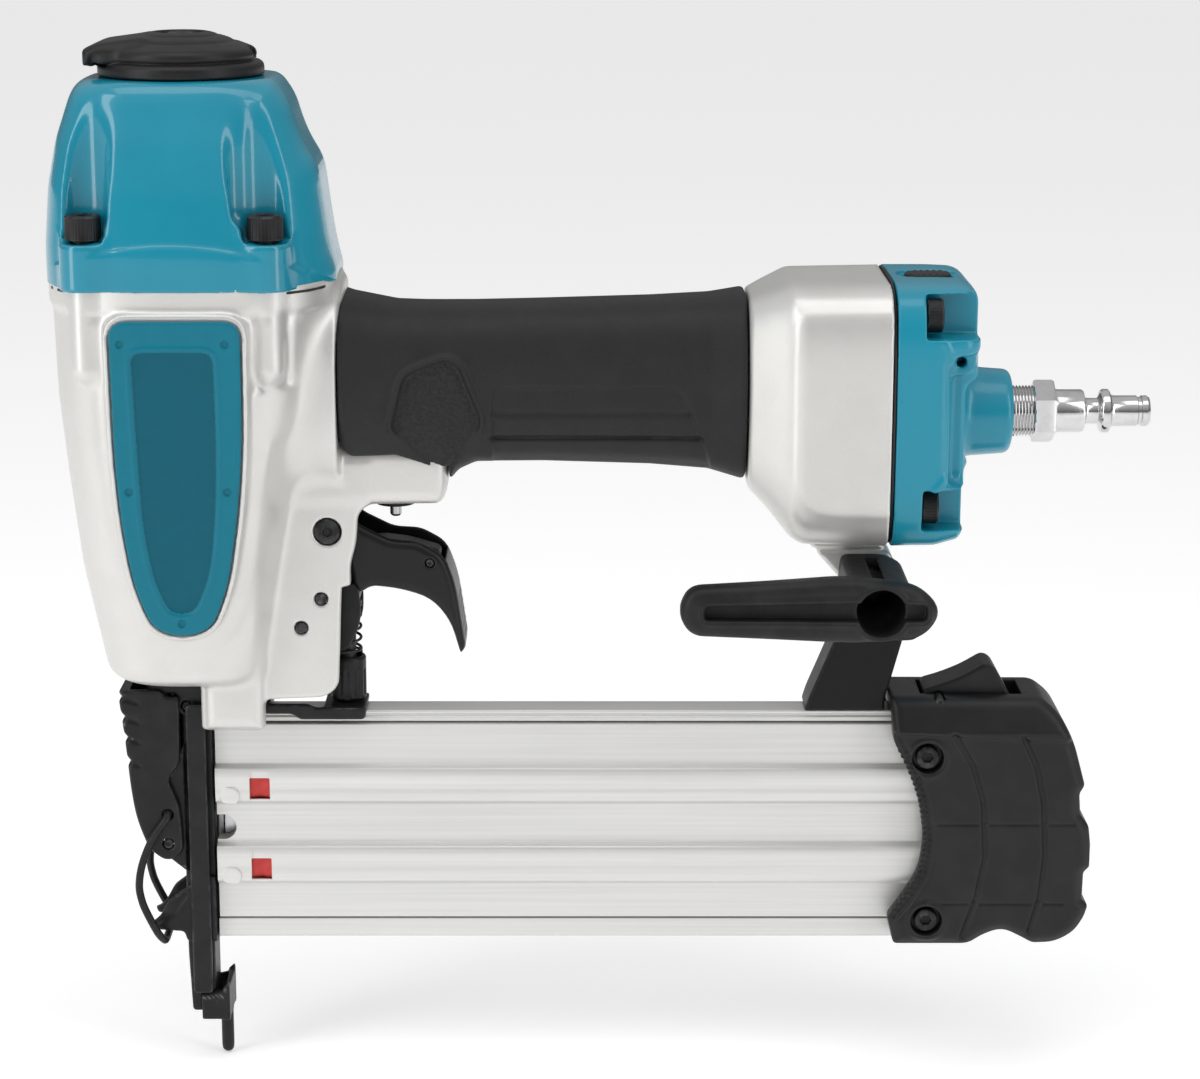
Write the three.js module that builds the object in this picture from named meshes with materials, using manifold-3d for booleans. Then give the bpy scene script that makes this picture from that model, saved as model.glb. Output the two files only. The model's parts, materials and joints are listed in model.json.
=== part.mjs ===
// Pneumatic nail gun for 18-gauge brads up to 50 mm, as an assembly of separate pieces.
// Millimetres. +X runs back to the air plug, +Z runs up the driver, and -Y is the side that carries the belt hook.
// The origin is the end of the contact foot, in the middle plane of the tool.

import * as THREE from 'three';
import { mergeVertices } from 'three/addons/utils/BufferGeometryUtils.js';
import Module from 'manifold-3d';

const wasm = await Module();
wasm.setup();

// ---------------------------------------------------------------- driving dimensions

const gap = 0.3;                    // between pieces that touch
const driverX = -4.7;               // axis of the cylinder and the driver blade
const seamZ = 209.5;                // joint between the housing and the cylinder cap
const housingBottom = 106;
const capTop = 259.8;
const sleeveBore = 14.6;
const sleeveRadius = 17;
const sleeveSeat = 112.1;           // floor of the housing bore
const sleeveTop = 222.3;
const chamberEnd = 171;             // open end of the rear air chamber
const plugZ = 174.8;                // axis of the air plug
const triggerPivot = [30.3, 146];   // X and Z
const leverPivot = [56, 137];       // contact lever inside the trigger
const valveX = 47;
const rodX = 34;                    // safety rod
const doorPivot = [-7.5, 98.3];
const latchPivot = [-13.2, 61.3];
const bailPivot = [-13, 69.5];
const noseSplit = -5.45;            // plane between the driver guide and the nose door
const noseHalf = 5.4;
const magazineFront = -0.8;
const magazineRear = 188;
const magazineTop = 96.5;
const magazineBottom = 34.5;
const magazineLatchPivot = [187, 100.6];
const hookScrew = [168, 133.2];

const capBoltSpots = [[-26.2, -27], [18, -27], [18, 27], [-26.2, 27]];
const endBoltSpots = [[-22, 203], [-22, 154.8], [22, 154.8], [22, 203]];
const endBoltSeat = 179;            // floor of the bolt pockets in the end cap
const noseBoltSpots = [[-14.4, -3.8], [-14.4, 3.8]];
const bracketPinSpots = [[28.4, 128.4], [23.2, 120.8]];

// ---------------------------------------------------------------- materials

function finish(color, roughness, metalness) {
  return new THREE.MeshStandardMaterial({ color, roughness, metalness });
}

const silverPaint = finish(0xb9bab6, 0.4, 0.35);
const tealPaint = finish(0x1f7f8c, 0.3, 0.1);
const blackRubber = finish(0x1b1b1c, 0.8, 0);
const blackPlastic = finish(0x17181a, 0.5, 0);
const blackSteel = finish(0x1d1e20, 0.4, 0.7);
const brightSteel = finish(0xc6c8ca, 0.25, 0.95);
const chrome = finish(0xe2e4e6, 0.1, 1);
const aluminium = finish(0xc3c5c7, 0.35, 0.85);
const redPlastic = finish(0xc4221c, 0.45, 0);
const gasketSheet = finish(0x2a2a2a, 0.85, 0);

// ---------------------------------------------------------------- solids

function toSolid(geometry) {
  const bare = geometry.clone();
  bare.deleteAttribute('normal');
  bare.deleteAttribute('uv');
  const welded = mergeVertices(bare, 1e-4);
  const corners = welded.index.array;
  const triangles = [];
  for (let i = 0; i < corners.length; i += 3) {
    const [a, b, c] = corners.slice(i, i + 3);
    if (a !== b && b !== c && c !== a) triangles.push(a, b, c);
  }
  return new wasm.Manifold(new wasm.Mesh({
    numProp: 3,
    vertProperties: new Float32Array(welded.attributes.position.array),
    triVerts: new Uint32Array(triangles),
  }));
}

function toGeometry(solid) {
  const mesh = solid.getMesh();
  const geometry = new THREE.BufferGeometry();
  geometry.setAttribute('position', new THREE.BufferAttribute(mesh.vertProperties, 3));
  geometry.setIndex(new THREE.BufferAttribute(mesh.triVerts, 1));
  return geometry;
}

function join(...geometries) {
  return toGeometry(geometries.map(toSolid).reduce((sum, solid) => sum.add(solid)));
}

function cut(base, ...tools) {
  return toGeometry(tools.map(toSolid).reduce((rest, tool) => rest.subtract(tool), toSolid(base)));
}

function mirrorY(geometry) {
  const copy = mergeVertices(geometry.clone());
  copy.scale(1, -1, 1);
  const index = copy.index.array;
  for (let i = 0; i < index.length; i += 3) {
    [index[i], index[i + 1]] = [index[i + 1], index[i]];
  }
  return copy;
}

function block([x0, x1], [y0, y1], [z0, z1]) {
  return new THREE.BoxGeometry(x1 - x0, y1 - y0, z1 - z0)
    .translate((x0 + x1) / 2, (y0 + y1) / 2, (z0 + z1) / 2);
}

// Turns a shape that was made around +Y so that it stands around the named axis.
function stand(geometry, axis) {
  if (axis === 'x') return geometry.rotateZ(-Math.PI / 2);
  if (axis === 'z') return geometry.rotateX(Math.PI / 2);
  return geometry;
}

// Moves a shape on the named axis to the two other coordinates, in alphabetical order.
function place(geometry, axis, [a, b]) {
  if (axis === 'x') return geometry.translate(0, a, b);
  if (axis === 'z') return geometry.translate(a, b, 0);
  return geometry.translate(a, 0, b);
}

function rod(axis, radius, [from, to], at, sides = 12) {
  const geometry = new THREE.CylinderGeometry(radius, radius, to - from, sides);
  return place(stand(geometry.translate(0, (from + to) / 2, 0), axis), axis, at);
}

// A turned piece: its profile is a list of radius and position along the axis, from low to high.
function turned(axis, profile, at, sides = 24) {
  const points = profile.map(([radius, along]) => new THREE.Vector2(radius, along));
  return place(stand(new THREE.LatheGeometry(points, sides), axis), axis, at);
}

// A turned tube: the outer profile goes up and the bore comes back down.
function tube(axis, outer, bore, at, sides = 24) {
  const low = outer[0][1];
  const high = outer[outer.length - 1][1];
  return turned(axis, [[bore, low], ...outer, [bore, high], [bore, low]], at, sides);
}

// A closed outline whose corners are rounded: each point is two coordinates and, when round, how far along its
// edges the rounding starts.
function outline(points) {
  const shape = new THREE.Shape();
  points.forEach(([x, y, reach = 0], i) => {
    const corner = new THREE.Vector2(x, y);
    const before = new THREE.Vector2(...points.at(i - 1)).sub(corner);
    const after = new THREE.Vector2(...points[(i + 1) % points.length]).sub(corner);
    const fit = Math.min(reach, 0.48 * before.length(), 0.48 * after.length());
    const start = corner.clone().add(before.setLength(fit));
    const end = corner.clone().add(after.setLength(fit));
    if (i === 0) shape.moveTo(start.x, start.y);
    else shape.lineTo(start.x, start.y);
    if (fit > 0) shape.quadraticCurveTo(x, y, end.x, end.y);
  });
  return shape;
}

const axisX = new THREE.Vector3(1, 0, 0);
const axisY = new THREE.Vector3(0, 1, 0);
const axisZ = new THREE.Vector3(0, 0, 1);

function extruded(points, depth, curveSegments) {
  return new THREE.ExtrudeGeometry(outline(points), { depth, bevelEnabled: false, curveSegments });
}

// A plate whose outline is in X and Z, between two values of Y.
function plate(points, [y0, y1], curveSegments = 2) {
  const basis = new THREE.Matrix4().makeBasis(axisX, axisZ, axisY.clone().negate());
  return extruded(points, y1 - y0, curveSegments).applyMatrix4(basis).translate(0, y1, 0);
}

// A bar whose section is in Y and Z, between two values of X.
function bar(points, [x0, x1], curveSegments = 2) {
  const basis = new THREE.Matrix4().makeBasis(axisY, axisZ, axisX);
  return extruded(points, x1 - x0, curveSegments).applyMatrix4(basis).translate(x0, 0, 0);
}

// A slab whose outline is in X and Y, between two values of Z.
function slab(points, [z0, z1], curveSegments = 2) {
  return extruded(points, z1 - z0, curveSegments).translate(0, 0, z0);
}

// A skin through rings that have the same number of points, closed by a fan at each end.
function loft(rings) {
  const count = rings[0].length;
  const points = rings.flat();
  const index = [];
  for (let ring = 0; ring + 1 < rings.length; ring += 1) {
    for (let i = 0; i < count; i += 1) {
      const a = ring * count + i;
      const b = ring * count + (i + 1) % count;
      index.push(a, b, b + count, a, b + count, a + count);
    }
  }
  for (const [start, flip] of [[0, true], [(rings.length - 1) * count, false]]) {
    const middle = new THREE.Vector3();
    rings[start / count].forEach((point) => middle.addScaledVector(point, 1 / count));
    points.push(middle);
    for (let i = 0; i < count; i += 1) {
      const edge = [start + i, start + (i + 1) % count];
      index.push(...(flip ? edge.reverse() : edge), points.length - 1);
    }
  }
  const geometry = new THREE.BufferGeometry().setFromPoints(points);
  geometry.setIndex(index);
  return geometry;
}

// A point of a squarish ellipse, as fractions of its two half sizes.
function squircle(i, sides, power) {
  const angle = (2 * Math.PI * i) / sides;
  const bend = (value) => Math.sign(value) * Math.abs(value) ** (2 / power);
  return [bend(Math.cos(angle)), bend(Math.sin(angle))];
}

// A body along Z: each level is height, front X, rear X and half depth.
function upright(levels, { sides = 28, power = 3, inset = 0 } = {}) {
  return loft(levels.map(([z, x0, x1, half]) => Array.from({ length: sides }, (_, i) => {
    const [u, v] = squircle(i, sides, power);
    return new THREE.Vector3((x0 + x1) / 2 + ((x1 - x0) / 2 - inset) * u, (half - inset) * v, z);
  })));
}

// A body along X: each station is X, bottom Z, top Z and half width.
function lengthwise(stations, { sides = 24, power = 3, inset = 0 } = {}) {
  return loft(stations.map(([x, z0, z1, half]) => Array.from({ length: sides }, (_, i) => {
    const [u, v] = squircle(i, sides, power);
    return new THREE.Vector3(x, (half - inset) * u, (z0 + z1) / 2 + ((z1 - z0) / 2 - inset) * v);
  })));
}

function wire(points, radius, steps) {
  const section = new THREE.Shape();
  section.absarc(0, 0, radius, 0, 2 * Math.PI);
  const corners = points.map((point) => new THREE.Vector3(...point));
  const path = new THREE.CatmullRomCurve3(corners, false, 'centripetal');
  return new THREE.ExtrudeGeometry(section, { steps, curveSegments: 4, extrudePath: path });
}

// A compression spring around Z.
function spring([x, y], coilRadius, wireRadius, [z0, z1], turns) {
  const path = new THREE.Curve();
  path.getPoint = (t, target = new THREE.Vector3()) => {
    const angle = 2 * Math.PI * turns * t;
    const z = z0 + wireRadius + (z1 - z0 - 2 * wireRadius) * t;
    return target.set(x + coilRadius * Math.cos(angle), y + coilRadius * Math.sin(angle), z);
  };
  const section = new THREE.Shape();
  section.absarc(0, 0, wireRadius, 0, 2 * Math.PI);
  return new THREE.ExtrudeGeometry(section, { steps: turns * 10, curveSegments: 3, extrudePath: path });
}

// ---------------------------------------------------------------- the tool, collected node by node

const nailGun = new THREE.Group();

function add(name, geometry, material) {
  const mesh = new THREE.Mesh(geometry, material);
  mesh.name = name;
  nailGun.add(mesh);
}

// ---------------------------------------------------------------- housing

const barrelLevels = [
  [housingBottom, -26, 14.6, 21.5],
  [109, -27.7, 15.5, 24],
  [137, -33.4, 20, 26.8],
  [161, -36, 24, 29.2],
  [181, -37.8, 28, 31],
  [203, -38.3, 33.4, 33],
  [seamZ - 0.6, -38.6, 33.8, 33.4],
];

const chamberStations = [
  [136.4, 157.5, 205, 19],
  [142, 152, 207.5, 23],
  [149, 144.5, 210, 27.5],
  [chamberEnd, 142.7, 211, 29],
];

const cheekIn = 10.2;
const cheekOut = 12.6;
const sideTilt = Math.atan2(33 - 24, 203 - 109);    // the barrel's sides lean out towards the top

// Leans a plate that stands on the +Y side so that it follows the barrel's side, out from its surface.
function onBarrelSide(geometry, stand) {
  const middle = 163.5;
  const surface = 24 + (middle - 109) * Math.tan(sideTilt);
  return geometry.translate(0, 0, -middle).rotateX(-sideTilt).translate(0, surface + stand, middle);
}

const badgeOutline = [
  [-19.9, 203.8, 3], [-14.6, 130, 5], [-10.6, 123.1, 4], [-0.2, 123.1, 4], [4.6, 130, 5], [12.3, 203.8, 3],
];

const padOutline = [
  [-25, 207.2, 4], [-19.4, 128, 8], [-12, 117.5, 6], [1.2, 117.5, 6], [9.4, 128, 8], [17.4, 207.2, 4],
];

function handleRoot() {
  return lengthwise([[14, 158, 204, 16], [26, 157.4, 206, 18.5], [33.6, 157.2, 206.8, 19.5]]);
}

function boltBosses() {
  return capBoltSpots.map((spot) => turned('z', [[0, 186], [2.5, 186], [6.2, 198], [6.2, seamZ - 0.6],
    [0, seamZ - 0.6]], spot, 12));
}

function bracketRib() {
  return plate([
    [10, 112.5], [25, 112.5, 3], [28.6, 117, 2], [28.6, 124.4, 1], [31, 126.2, 1], [31, 134, 2],
    [27, 138, 2], [10, 138],
  ], [-6, 6]);
}

// The two cheeks that hold the trigger, with the nose mount at their lower end.
function triggerCheeks() {
  const cheeks = plate([
    [-3, 93.8, 1], [11.4, 93.8, 1], [12.4, 101.6, 1], [29, 102.3, 3], [32.4, 105, 3], [33.6, 131.4, 0.5],
    [36, 131.8, 1], [36, 137.5, 2], [37.6, 143, 2], [38, 150.4, 3], [41, 153.4], [41, 160], [10, 160], [-3, 112],
  ], [-cheekOut, cheekOut]);
  return cut(cheeks, block([-20, 60], [-cheekIn, cheekIn], [80, 152.4]));
}

function tongue() {
  return plate([[20, 152.4], [58.2, 153.2, 1.5], [59.2, 156, 1], [59.2, 168], [20, 168]], [-cheekOut, cheekOut]);
}

function addHousing() {
  const core = lengthwise([[20, 167.5, 198.5, 11.5], [142, 167.5, 198.5, 11.5]], { sides: 24 });
  const passage = lengthwise([[-4, 171, 195, 8.5], [150, 171, 195, 8.5]], { sides: 20 });
  const pad = onBarrelSide(plate(padOutline, [-12, 0]), 1.4);
  const metal = join(
    upright(barrelLevels),
    core,
    handleRoot(),
    lengthwise(chamberStations, { sides: 24, power: 4 }),
    pad,
    mirrorY(pad),
    bracketRib(),
    triggerCheeks(),
    tongue(),
    ...boltBosses(),
  );
  const housing = cut(
    metal,
    rod('z', 21.5, [128, 220], [driverX, 0], 24),
    rod('z', 17.4, [sleeveSeat, 130], [driverX, 0], 24),
    block([driverX - 1.2, driverX + 1.2], [-1.6, 1.6], [100, 120]),
    block([-8.4, 20], [-9.9, -7.2], [100, 109.4]),
    rod('y', 2.3, [-9, 20], triggerPivot, 12),
    rod('y', 3.6, [-20, -9], triggerPivot, 16),
    passage,
    block([146, 180], [-16.4, 16.4], [148, 206.5]),
    block([150, 180], [-25, 25], [159.5, 193]),
    rod('z', 6.2, [150, 175], [valveX, 0], 20),
    ...capBoltSpots.map((spot) => rod('z', 2.9, [194, 220], spot, 8)),
    ...endBoltSpots.map((spot) => rod('x', 2.9, [155, 180], spot, 8)),
    ...bracketPinSpots.map((spot) => rod('y', 1.8, [-20, 20], spot, 8)),
    ...noseBoltSpots.map((spot) => rod('z', 2, [100, 111.2], spot, 8)),
  );
  add('housing', housing, silverPaint);
}

function addBadges() {
  const right = onBarrelSide(plate(badgeOutline, [0, 1.2]), 1.4 + gap);
  add('badge_right', right, tealPaint);
  add('badge_left', mirrorY(right), tealPaint);
}

function addGrip() {
  const skin = lengthwise([
    [34, 167, 206.4, 19.6],
    [41, 164, 204, 18],
    [47.5, 161.5, 203, 17.2],
    [55, 158.5, 203, 17],
    [60.5, 156.5, 203, 17],
    [66, 162.6, 203, 16.8],
    [85, 162.8, 203.4, 16.4],
    [112, 162, 204.2, 16.6],
    [127, 160.8, 205, 17.4],
    [136, 158.2, 206.4, 20],
  ]);
  const bore = lengthwise([[30, 167.5, 198.5, 11.5], [140, 167.5, 198.5, 11.5]], { sides: 20, inset: -0.4 });
  add('grip', cut(skin, bore, block([30, 59.6], [-13, 13], [150, 168.4])), blackRubber);
}

// ---------------------------------------------------------------- cylinder cap and exhaust

const capLevels = [
  [seamZ + 0.6, -38.6, 33.8, 33.4],
  [218.7, -38.8, 32.4, 33.2],
  [233.7, -37.6, 30.2, 31.6],
  [245, -35.4, 26.8, 28.8],
  [256.1, -32, 22.2, 25],
  [capTop, -29.6, 20.3, 22.6],
];

const boltSeat = 222;

function addCylinderCap() {
  const bosses = capBoltSpots.map((spot) => rod('z', 6.2, [seamZ + 0.6, boltSeat], spot, 12));
  const exhaustHoles = [0, 1, 2, 3, 4, 5].map((i) => {
    const angle = (i * Math.PI) / 3;
    return rod('z', 2.6, [240, 270], [driverX + 10 * Math.cos(angle), 10 * Math.sin(angle)], 8);
  });
  add('cylinder_cap', cut(
    join(upright(capLevels), ...bosses),
    rod('z', 23, [200, 246], [driverX, 0], 24),
    rod('z', 2.4, [240, 270], [driverX, 0], 12),
    ...exhaustHoles,
    ...capBoltSpots.map((spot) => rod('z', 5.2, [boltSeat, 280], spot, 12)),
    ...capBoltSpots.map((spot) => rod('z', 2.9, [200, 230], spot, 8)),
  ), tealPaint);
}

function addCapGasket() {
  const sheet = upright([[seamZ - 0.3, -38.2, 33.4, 33], [seamZ + 0.3, -38.2, 33.4, 33]]);
  add('cap_gasket', cut(
    sheet,
    rod('z', 23, [200, 220], [driverX, 0], 24),
    ...capBoltSpots.map((spot) => rod('z', 2.9, [200, 220], spot, 8)),
  ), gasketSheet);
}

// A socket-head screw along an axis: its head starts at the seat, and a negative length points it the other way.
function socketScrew(axis, seat, shank, [headRadius, headHeight, shankRadius, keyRadius], at) {
  const away = -Math.sign(shank);
  const span = (from, to) => [Math.min(from, to), Math.max(from, to)];
  const head = rod(axis, headRadius, span(seat, seat + away * headHeight), at, 12);
  const stem = rod(axis, shankRadius, span(seat + away * 0.5, seat + shank), at, 8);
  const key = rod(axis, keyRadius, span(seat + away * headHeight * 0.45, seat + away * (headHeight + 2)), at, 6);
  return cut(join(head, stem), key);
}

function addCapBolts() {
  capBoltSpots.forEach((spot, i) => {
    add(`cap_bolt_${i + 1}`, socketScrew('z', boltSeat + gap, -26, [4.4, 6.2, 2.5, 2.3], spot), blackSteel);
  });
}

function addExhaust() {
  const shell = turned('z', [[0, capTop + gap], [20.6, capTop + gap], [20.6, 263.6], [18.6, 266.6], [12, 269.3],
    [7.6, 270.6], [6.4, 270.6], [5.6, 267.6], [0, 267.6]], [driverX, 0], 28);
  const hood = plate([[-27.6, 264.2, 1], [-27.2, 266.6, 2], [-14, 269.8, 1], [-13, 264.2]], [-12.5, 12.5]);
  const chamber = rod('z', 18.4, [250, 265.2], [driverX, 0], 24);
  const mouth = block([-40, -12], [-11, 11], [261.6, 264.8]);
  add('exhaust_cover', cut(join(shell, hood), chamber, mouth, rod('z', 2.4, [250, 275], [driverX, 0], 12)),
    blackPlastic);
  add('exhaust_screw', socketScrew('z', 267.6 + gap, -16, [3.4, 2.4, 2, 1.7], [driverX, 0]), blackSteel);
}

// ---------------------------------------------------------------- rear chamber, air inlet

const endCapStations = [
  [chamberEnd + 1.1, 142.7, 211, 29],
  [184, 143.4, 210.8, 28.8],
  [189.5, 145.4, 210.4, 27.6],
  [192.5, 150, 209, 25.5],
  [195.6, 160, 203.4, 21],
];

function addEndCap() {
  const boss = turned('x', [[0, 190], [11.5, 190], [10.2, 203.7], [0, 203.7]], [0, plugZ], 20);
  const pockets = endBoltSpots.flatMap(([y, z]) => [
    rod('x', 5.2, [endBoltSeat, 205], [y, z], 16),
    block([endBoltSeat, 205], y < 0 ? [-40, y] : [y, 40], [z - 5.2, z + 5.2]),
  ]);
  const recess = slab([[174, -6.4, 5], [190, -6.4, 5], [190, 6.4, 5], [174, 6.4, 5]], [209.2, 220]);
  const buttonHole = slab([[175.4, -5, 4.2], [188.6, -5, 4.2], [188.6, 5, 4.2], [175.4, 5, 4.2]], [200, 212]);
  add('end_cap', cut(
    join(lengthwise(endCapStations, { sides: 24, power: 4 }), boss),
    block([160, 183], [-14.8, 14.8], [148, 206.5]),
    block([160, 187], [-24, 24], [162, 193]),
    rod('x', 7, [180, 210], [0, plugZ], 24),
    recess,
    buttonHole,
    ...pockets,
    ...endBoltSpots.map((spot) => rod('x', 2.9, [160, 190], spot, 8)),
  ), tealPaint);
}

function addEndGasket() {
  const sheet = lengthwise([[chamberEnd + 0.3, 143, 210.7, 28.7], [chamberEnd + 0.8, 143, 210.7, 28.7]],
    { sides: 24, power: 4 });
  add('end_gasket', cut(
    sheet,
    block([160, 180], [-16.4, 16.4], [148, 206.5]),
    block([160, 180], [-25, 25], [159.5, 193]),
    ...endBoltSpots.map((spot) => rod('x', 2.9, [160, 190], spot, 8)),
  ), gasketSheet);
}

function addEndBolts() {
  endBoltSpots.forEach((spot, i) => {
    add(`end_cap_bolt_${i + 1}`, socketScrew('x', endBoltSeat + gap, -22, [4.2, 4.2, 2.5, 2.2], spot), blackSteel);
  });
}

function addDusterButton() {
  const corners = [[175.9, -4.5, 4], [188.1, -4.5, 4], [188.1, 4.5, 4], [175.9, 4.5, 4]];
  add('duster_button', slab(corners, [203, 210.6], 4), blackPlastic);
}

function addAirPlug() {
  const body = tube('x', [[6.6, 193], [6.6, 209.4], [7, 209.4], [7, 214.9], [5.5, 216], [5.5, 222.3], [3.3, 223.2],
    [3.3, 226.2], [5.2, 226.8], [5.6, 227.6], [5.6, 228.8], [4.2, 229.4], [3.95, 230], [3.95, 238.4], [3.4, 239.2]],
  2.6, [0, plugZ], 18);
  const hexagon = rod('x', 14 / Math.sqrt(3), [209.3, 214.9], [0, plugZ], 6);
  add('air_plug', join(body, cut(hexagon, rod('x', 5, [200, 220], [0, plugZ]))), chrome);
}

// ---------------------------------------------------------------- cylinder

function addCylinder() {
  const at = [driverX, 0];
  add('cylinder_sleeve', tube('z', [[sleeveRadius, sleeveSeat + gap], [sleeveRadius, 194], [21.1, 197], [21.1, 203],
    [sleeveRadius, 205], [sleeveRadius, sleeveTop]], sleeveBore, at), aluminium);
  add('bumper', tube('z', [[14.2, 112.7], [14.2, 122], [12.6, 128.5]], 3.2, at, 28), blackRubber);
  const crown = turned('z', [[0, 208.2], [6, 208.2], [7, 211], [14.2, 212.5], [14.2, 214.4], [13, 214.4], [13, 217],
    [14.2, 217], [14.2, 221.5], [9, 221.5], [8, 219.5], [0, 219.5]], at, 28);
  const bladeSlot = block([driverX - 0.95, driverX + 0.95], [-1.35, 1.35], [200, 215.3]);
  add('piston', cut(crown, bladeSlot), aluminium);
  add('driver_blade', block([driverX - 0.6, driverX + 0.6], [-1, 1], [89.5, 215]), brightSteel);
  add('head_valve', turned('z', [[0, 222.7], [15.5, 222.7], [18.4, 223.8], [20.8, 225], [20.8, 231.6], [18, 232.6],
    [17.6, 230], [9, 230], [8, 232.6], [0, 232.6]], at), blackPlastic);
  add('head_valve_spring', spring(at, 13, 0.8, [230.4, 245.6], 4), brightSteel);
}

// ---------------------------------------------------------------- trigger group

function addTrigger() {
  const body = plate([
    [27, 143.6, 2], [26.8, 149, 3], [34, 150.6, 2], [38, 147, 2], [46, 143, 2], [53, 142.6, 2], [59.6, 139, 3],
    [62.6, 131, 4], [65, 114.6, 1], [63.6, 112.6, 1], [61, 121.6, 4], [56, 127.6, 4], [48, 130, 3], [41, 130.8, 2],
    [38, 128.8, 1], [36.6, 131, 1], [33, 141, 2],
  ], [-9.4, 9.4]);
  const hollow = plate([[20, 156], [20, 120], [37.4, 120], [39, 133, 1], [48, 132.6, 2], [56, 131, 2], [60, 134, 1],
    [58, 156]], [-7.2, 7.2]);
  add('trigger', cut(
    body,
    hollow,
    rod('y', 2.3, [-20, 20], triggerPivot, 16),
    rod('y', 1.3, [-20, 20], leverPivot, 12),
  ), blackPlastic);
  add('trigger_pin', turned('y', [[0, -12.9], [3.2, -12.9], [3.2, -10.6], [1.9, -10.6], [1.9, 13], [0, 13]],
    triggerPivot, 20), blackSteel);
  const lever = plate([[31.6, 138.8, 0.5], [44, 138, 1], [54, 134.6, 1.5], [58.6, 135, 1.5], [58.6, 139, 1.5],
    [50, 141.5, 2], [44, 142.2, 1], [31.6, 141.4, 0.5]], [-3.2, 3.2]);
  add('trigger_lever', cut(lever, rod('y', 1.3, [-20, 20], leverPivot, 12)), brightSteel);
  add('trigger_lever_pin', rod('y', 1, [-9.2, 9.2], leverPivot, 12), brightSteel);
}

function addTriggerValve() {
  add('trigger_valve', tube('z', [[5.6, 150.8], [5.9, 151.6], [5.9, 160], [5.2, 160.6], [5.2, 162], [5.9, 162.6],
    [5.9, 173.4]], 1.9, [valveX, 0], 24), blackPlastic);
  add('valve_stem', turned('z', [[0, 147.4], [1.2, 147.4], [1.5, 148], [1.5, 168], [0, 168]], [valveX, 0], 16),
    brightSteel);
}

function addBracketPins() {
  bracketPinSpots.forEach((spot, i) => {
    add(`bracket_pin_${i + 1}`, tube('y', [[1.1, -13], [1.4, -12.6], [1.4, 12.6], [1.1, 13]], 0.6, spot, 12),
      brightSteel);
  });
}

// ---------------------------------------------------------------- contact safety

const armSide = [-9.4, -7.6];       // Y of the contact arm, outside the nose
const armShelf = [96.9, 98.4];      // Z of the shelf that carries the depth wheel
const guideZ = [125.6, 128.2];

function addContactArm() {
  const strip = plate([
    [-7.6, 20, 1], [-2.6, 20, 1], [-2.6, 96.9, 1], [20, 96.9, 1], [22, 95.4, 1], [39, 95.4, 2], [39, 98.4],
    [26, 98.4], [24, 99.4, 1], [-7.6, 99.4, 1.5],
  ], armSide);
  const shelf = block([28, 39], [armSide[0], 5.5], armShelf);
  add('contact_arm', cut(join(strip, shelf), rod('z', 2.6, [90, 102], [rodX, 0], 12)), blackSteel);
}

function addContactFoot() {
  const near = block([-5.9, 1.5], [-7.3, -5.9], [11.7, 23.4]);
  const back = block([0.2, 1.5], [-6.5, 6.5], [11.7, 20.8]);
  const leg = turned('z', [[0, 0], [1.2, 0], [1.65, 0.6], [1.65, 16], [0, 16]], [-0.1, 0], 20);
  add('contact_foot', join(near, mirrorY(near), back, leg), blackSteel);
}

function addSafetyRod() {
  const rodProfile = [[0, 96.9], [2.2, 96.9], [2.2, 127.6], [1.5, 128.8], [0, 128.8]];
  add('safety_rod', turned('z', rodProfile, [rodX, 0], 16), brightSteel);
  const grooves = Array.from({ length: 8 }, (_, i) => {
    const angle = (i * Math.PI) / 4;
    return rod('z', 0.6, [95, 115], [rodX + 4.9 * Math.cos(angle), 4.9 * Math.sin(angle)], 4);
  });
  const wheel = tube('z', [[4.2, 98.8], [4.7, 99.4], [4.7, 109.8], [4.2, 110.4]], 2.5, [rodX, 0], 24);
  add('depth_wheel', cut(wheel, ...grooves), blackSteel);
  add('safety_spring', spring([rodX, 0], 3.6, 0.35, [110.8, 125.2], 5), brightSteel);
  const [guideLow, guideHigh] = guideZ;
  const guide = plate([[31.4, guideLow], [37.6, guideLow, 1], [37.6, guideHigh, 1], [31.4, guideHigh]],
    [-5.6, 5.6]);
  add('rod_guide', cut(guide, rod('z', 2.6, [120, 135], [rodX, 0], 12)), brightSteel);
}

// ---------------------------------------------------------------- nose

function addDriverGuide() {
  const body = block([noseSplit + 0.15, -1.2], [-noseHalf, noseHalf], [13.4, 103]);
  const flange = slab([[-18, -7, 3], [12, -7, 1], [12, 7, 1], [-18, 7, 3]], [101.7, housingBottom - gap]);
  const seatBlock = block([-3, 14], [-4.4, 4.4], [magazineTop + gap, 103]);
  const hinge = plate([[-10, 103], [-10, 96.2, 2], [-1.4, 94, 1], [-1.4, 103]], [-7, 7]);
  const ears = plate([
    [-1.4, 51.6], [-5.2, 51.6, 1], [-13.8, 45, 2], [-16.2, 40.6, 2], [-19.2, 38.6, 0.6], [-18.4, 36.9, 0.6],
    [-10, 36.3, 1], [-9.2, 33.5, 1], [-1.4, 33.5],
  ], [-7, 7]);
  const doorSpace = block([-30, noseSplit + 0.15], [-5.75, 5.75], [5, 101.4]);
  const groove = block([-8, driverX + 0.9], [-1.35, 1.35], [5, 120]);
  const bradSlot = block([-8, 0], [-0.9, 0.9], [36, 91]);
  const footSpace = block([-2.2, 5], [-10, 10], [5, 33]);
  add('driver_guide', cut(
    join(body, flange, seatBlock, hinge, ears),
    doorSpace,
    groove,
    bradSlot,
    footSpace,
    rod('y', 1.5, [-20, 20], doorPivot, 12),
    ...noseBoltSpots.map((spot) => rod('z', 2, [95, 117], spot, 8)),
  ), blackSteel);
}

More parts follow.
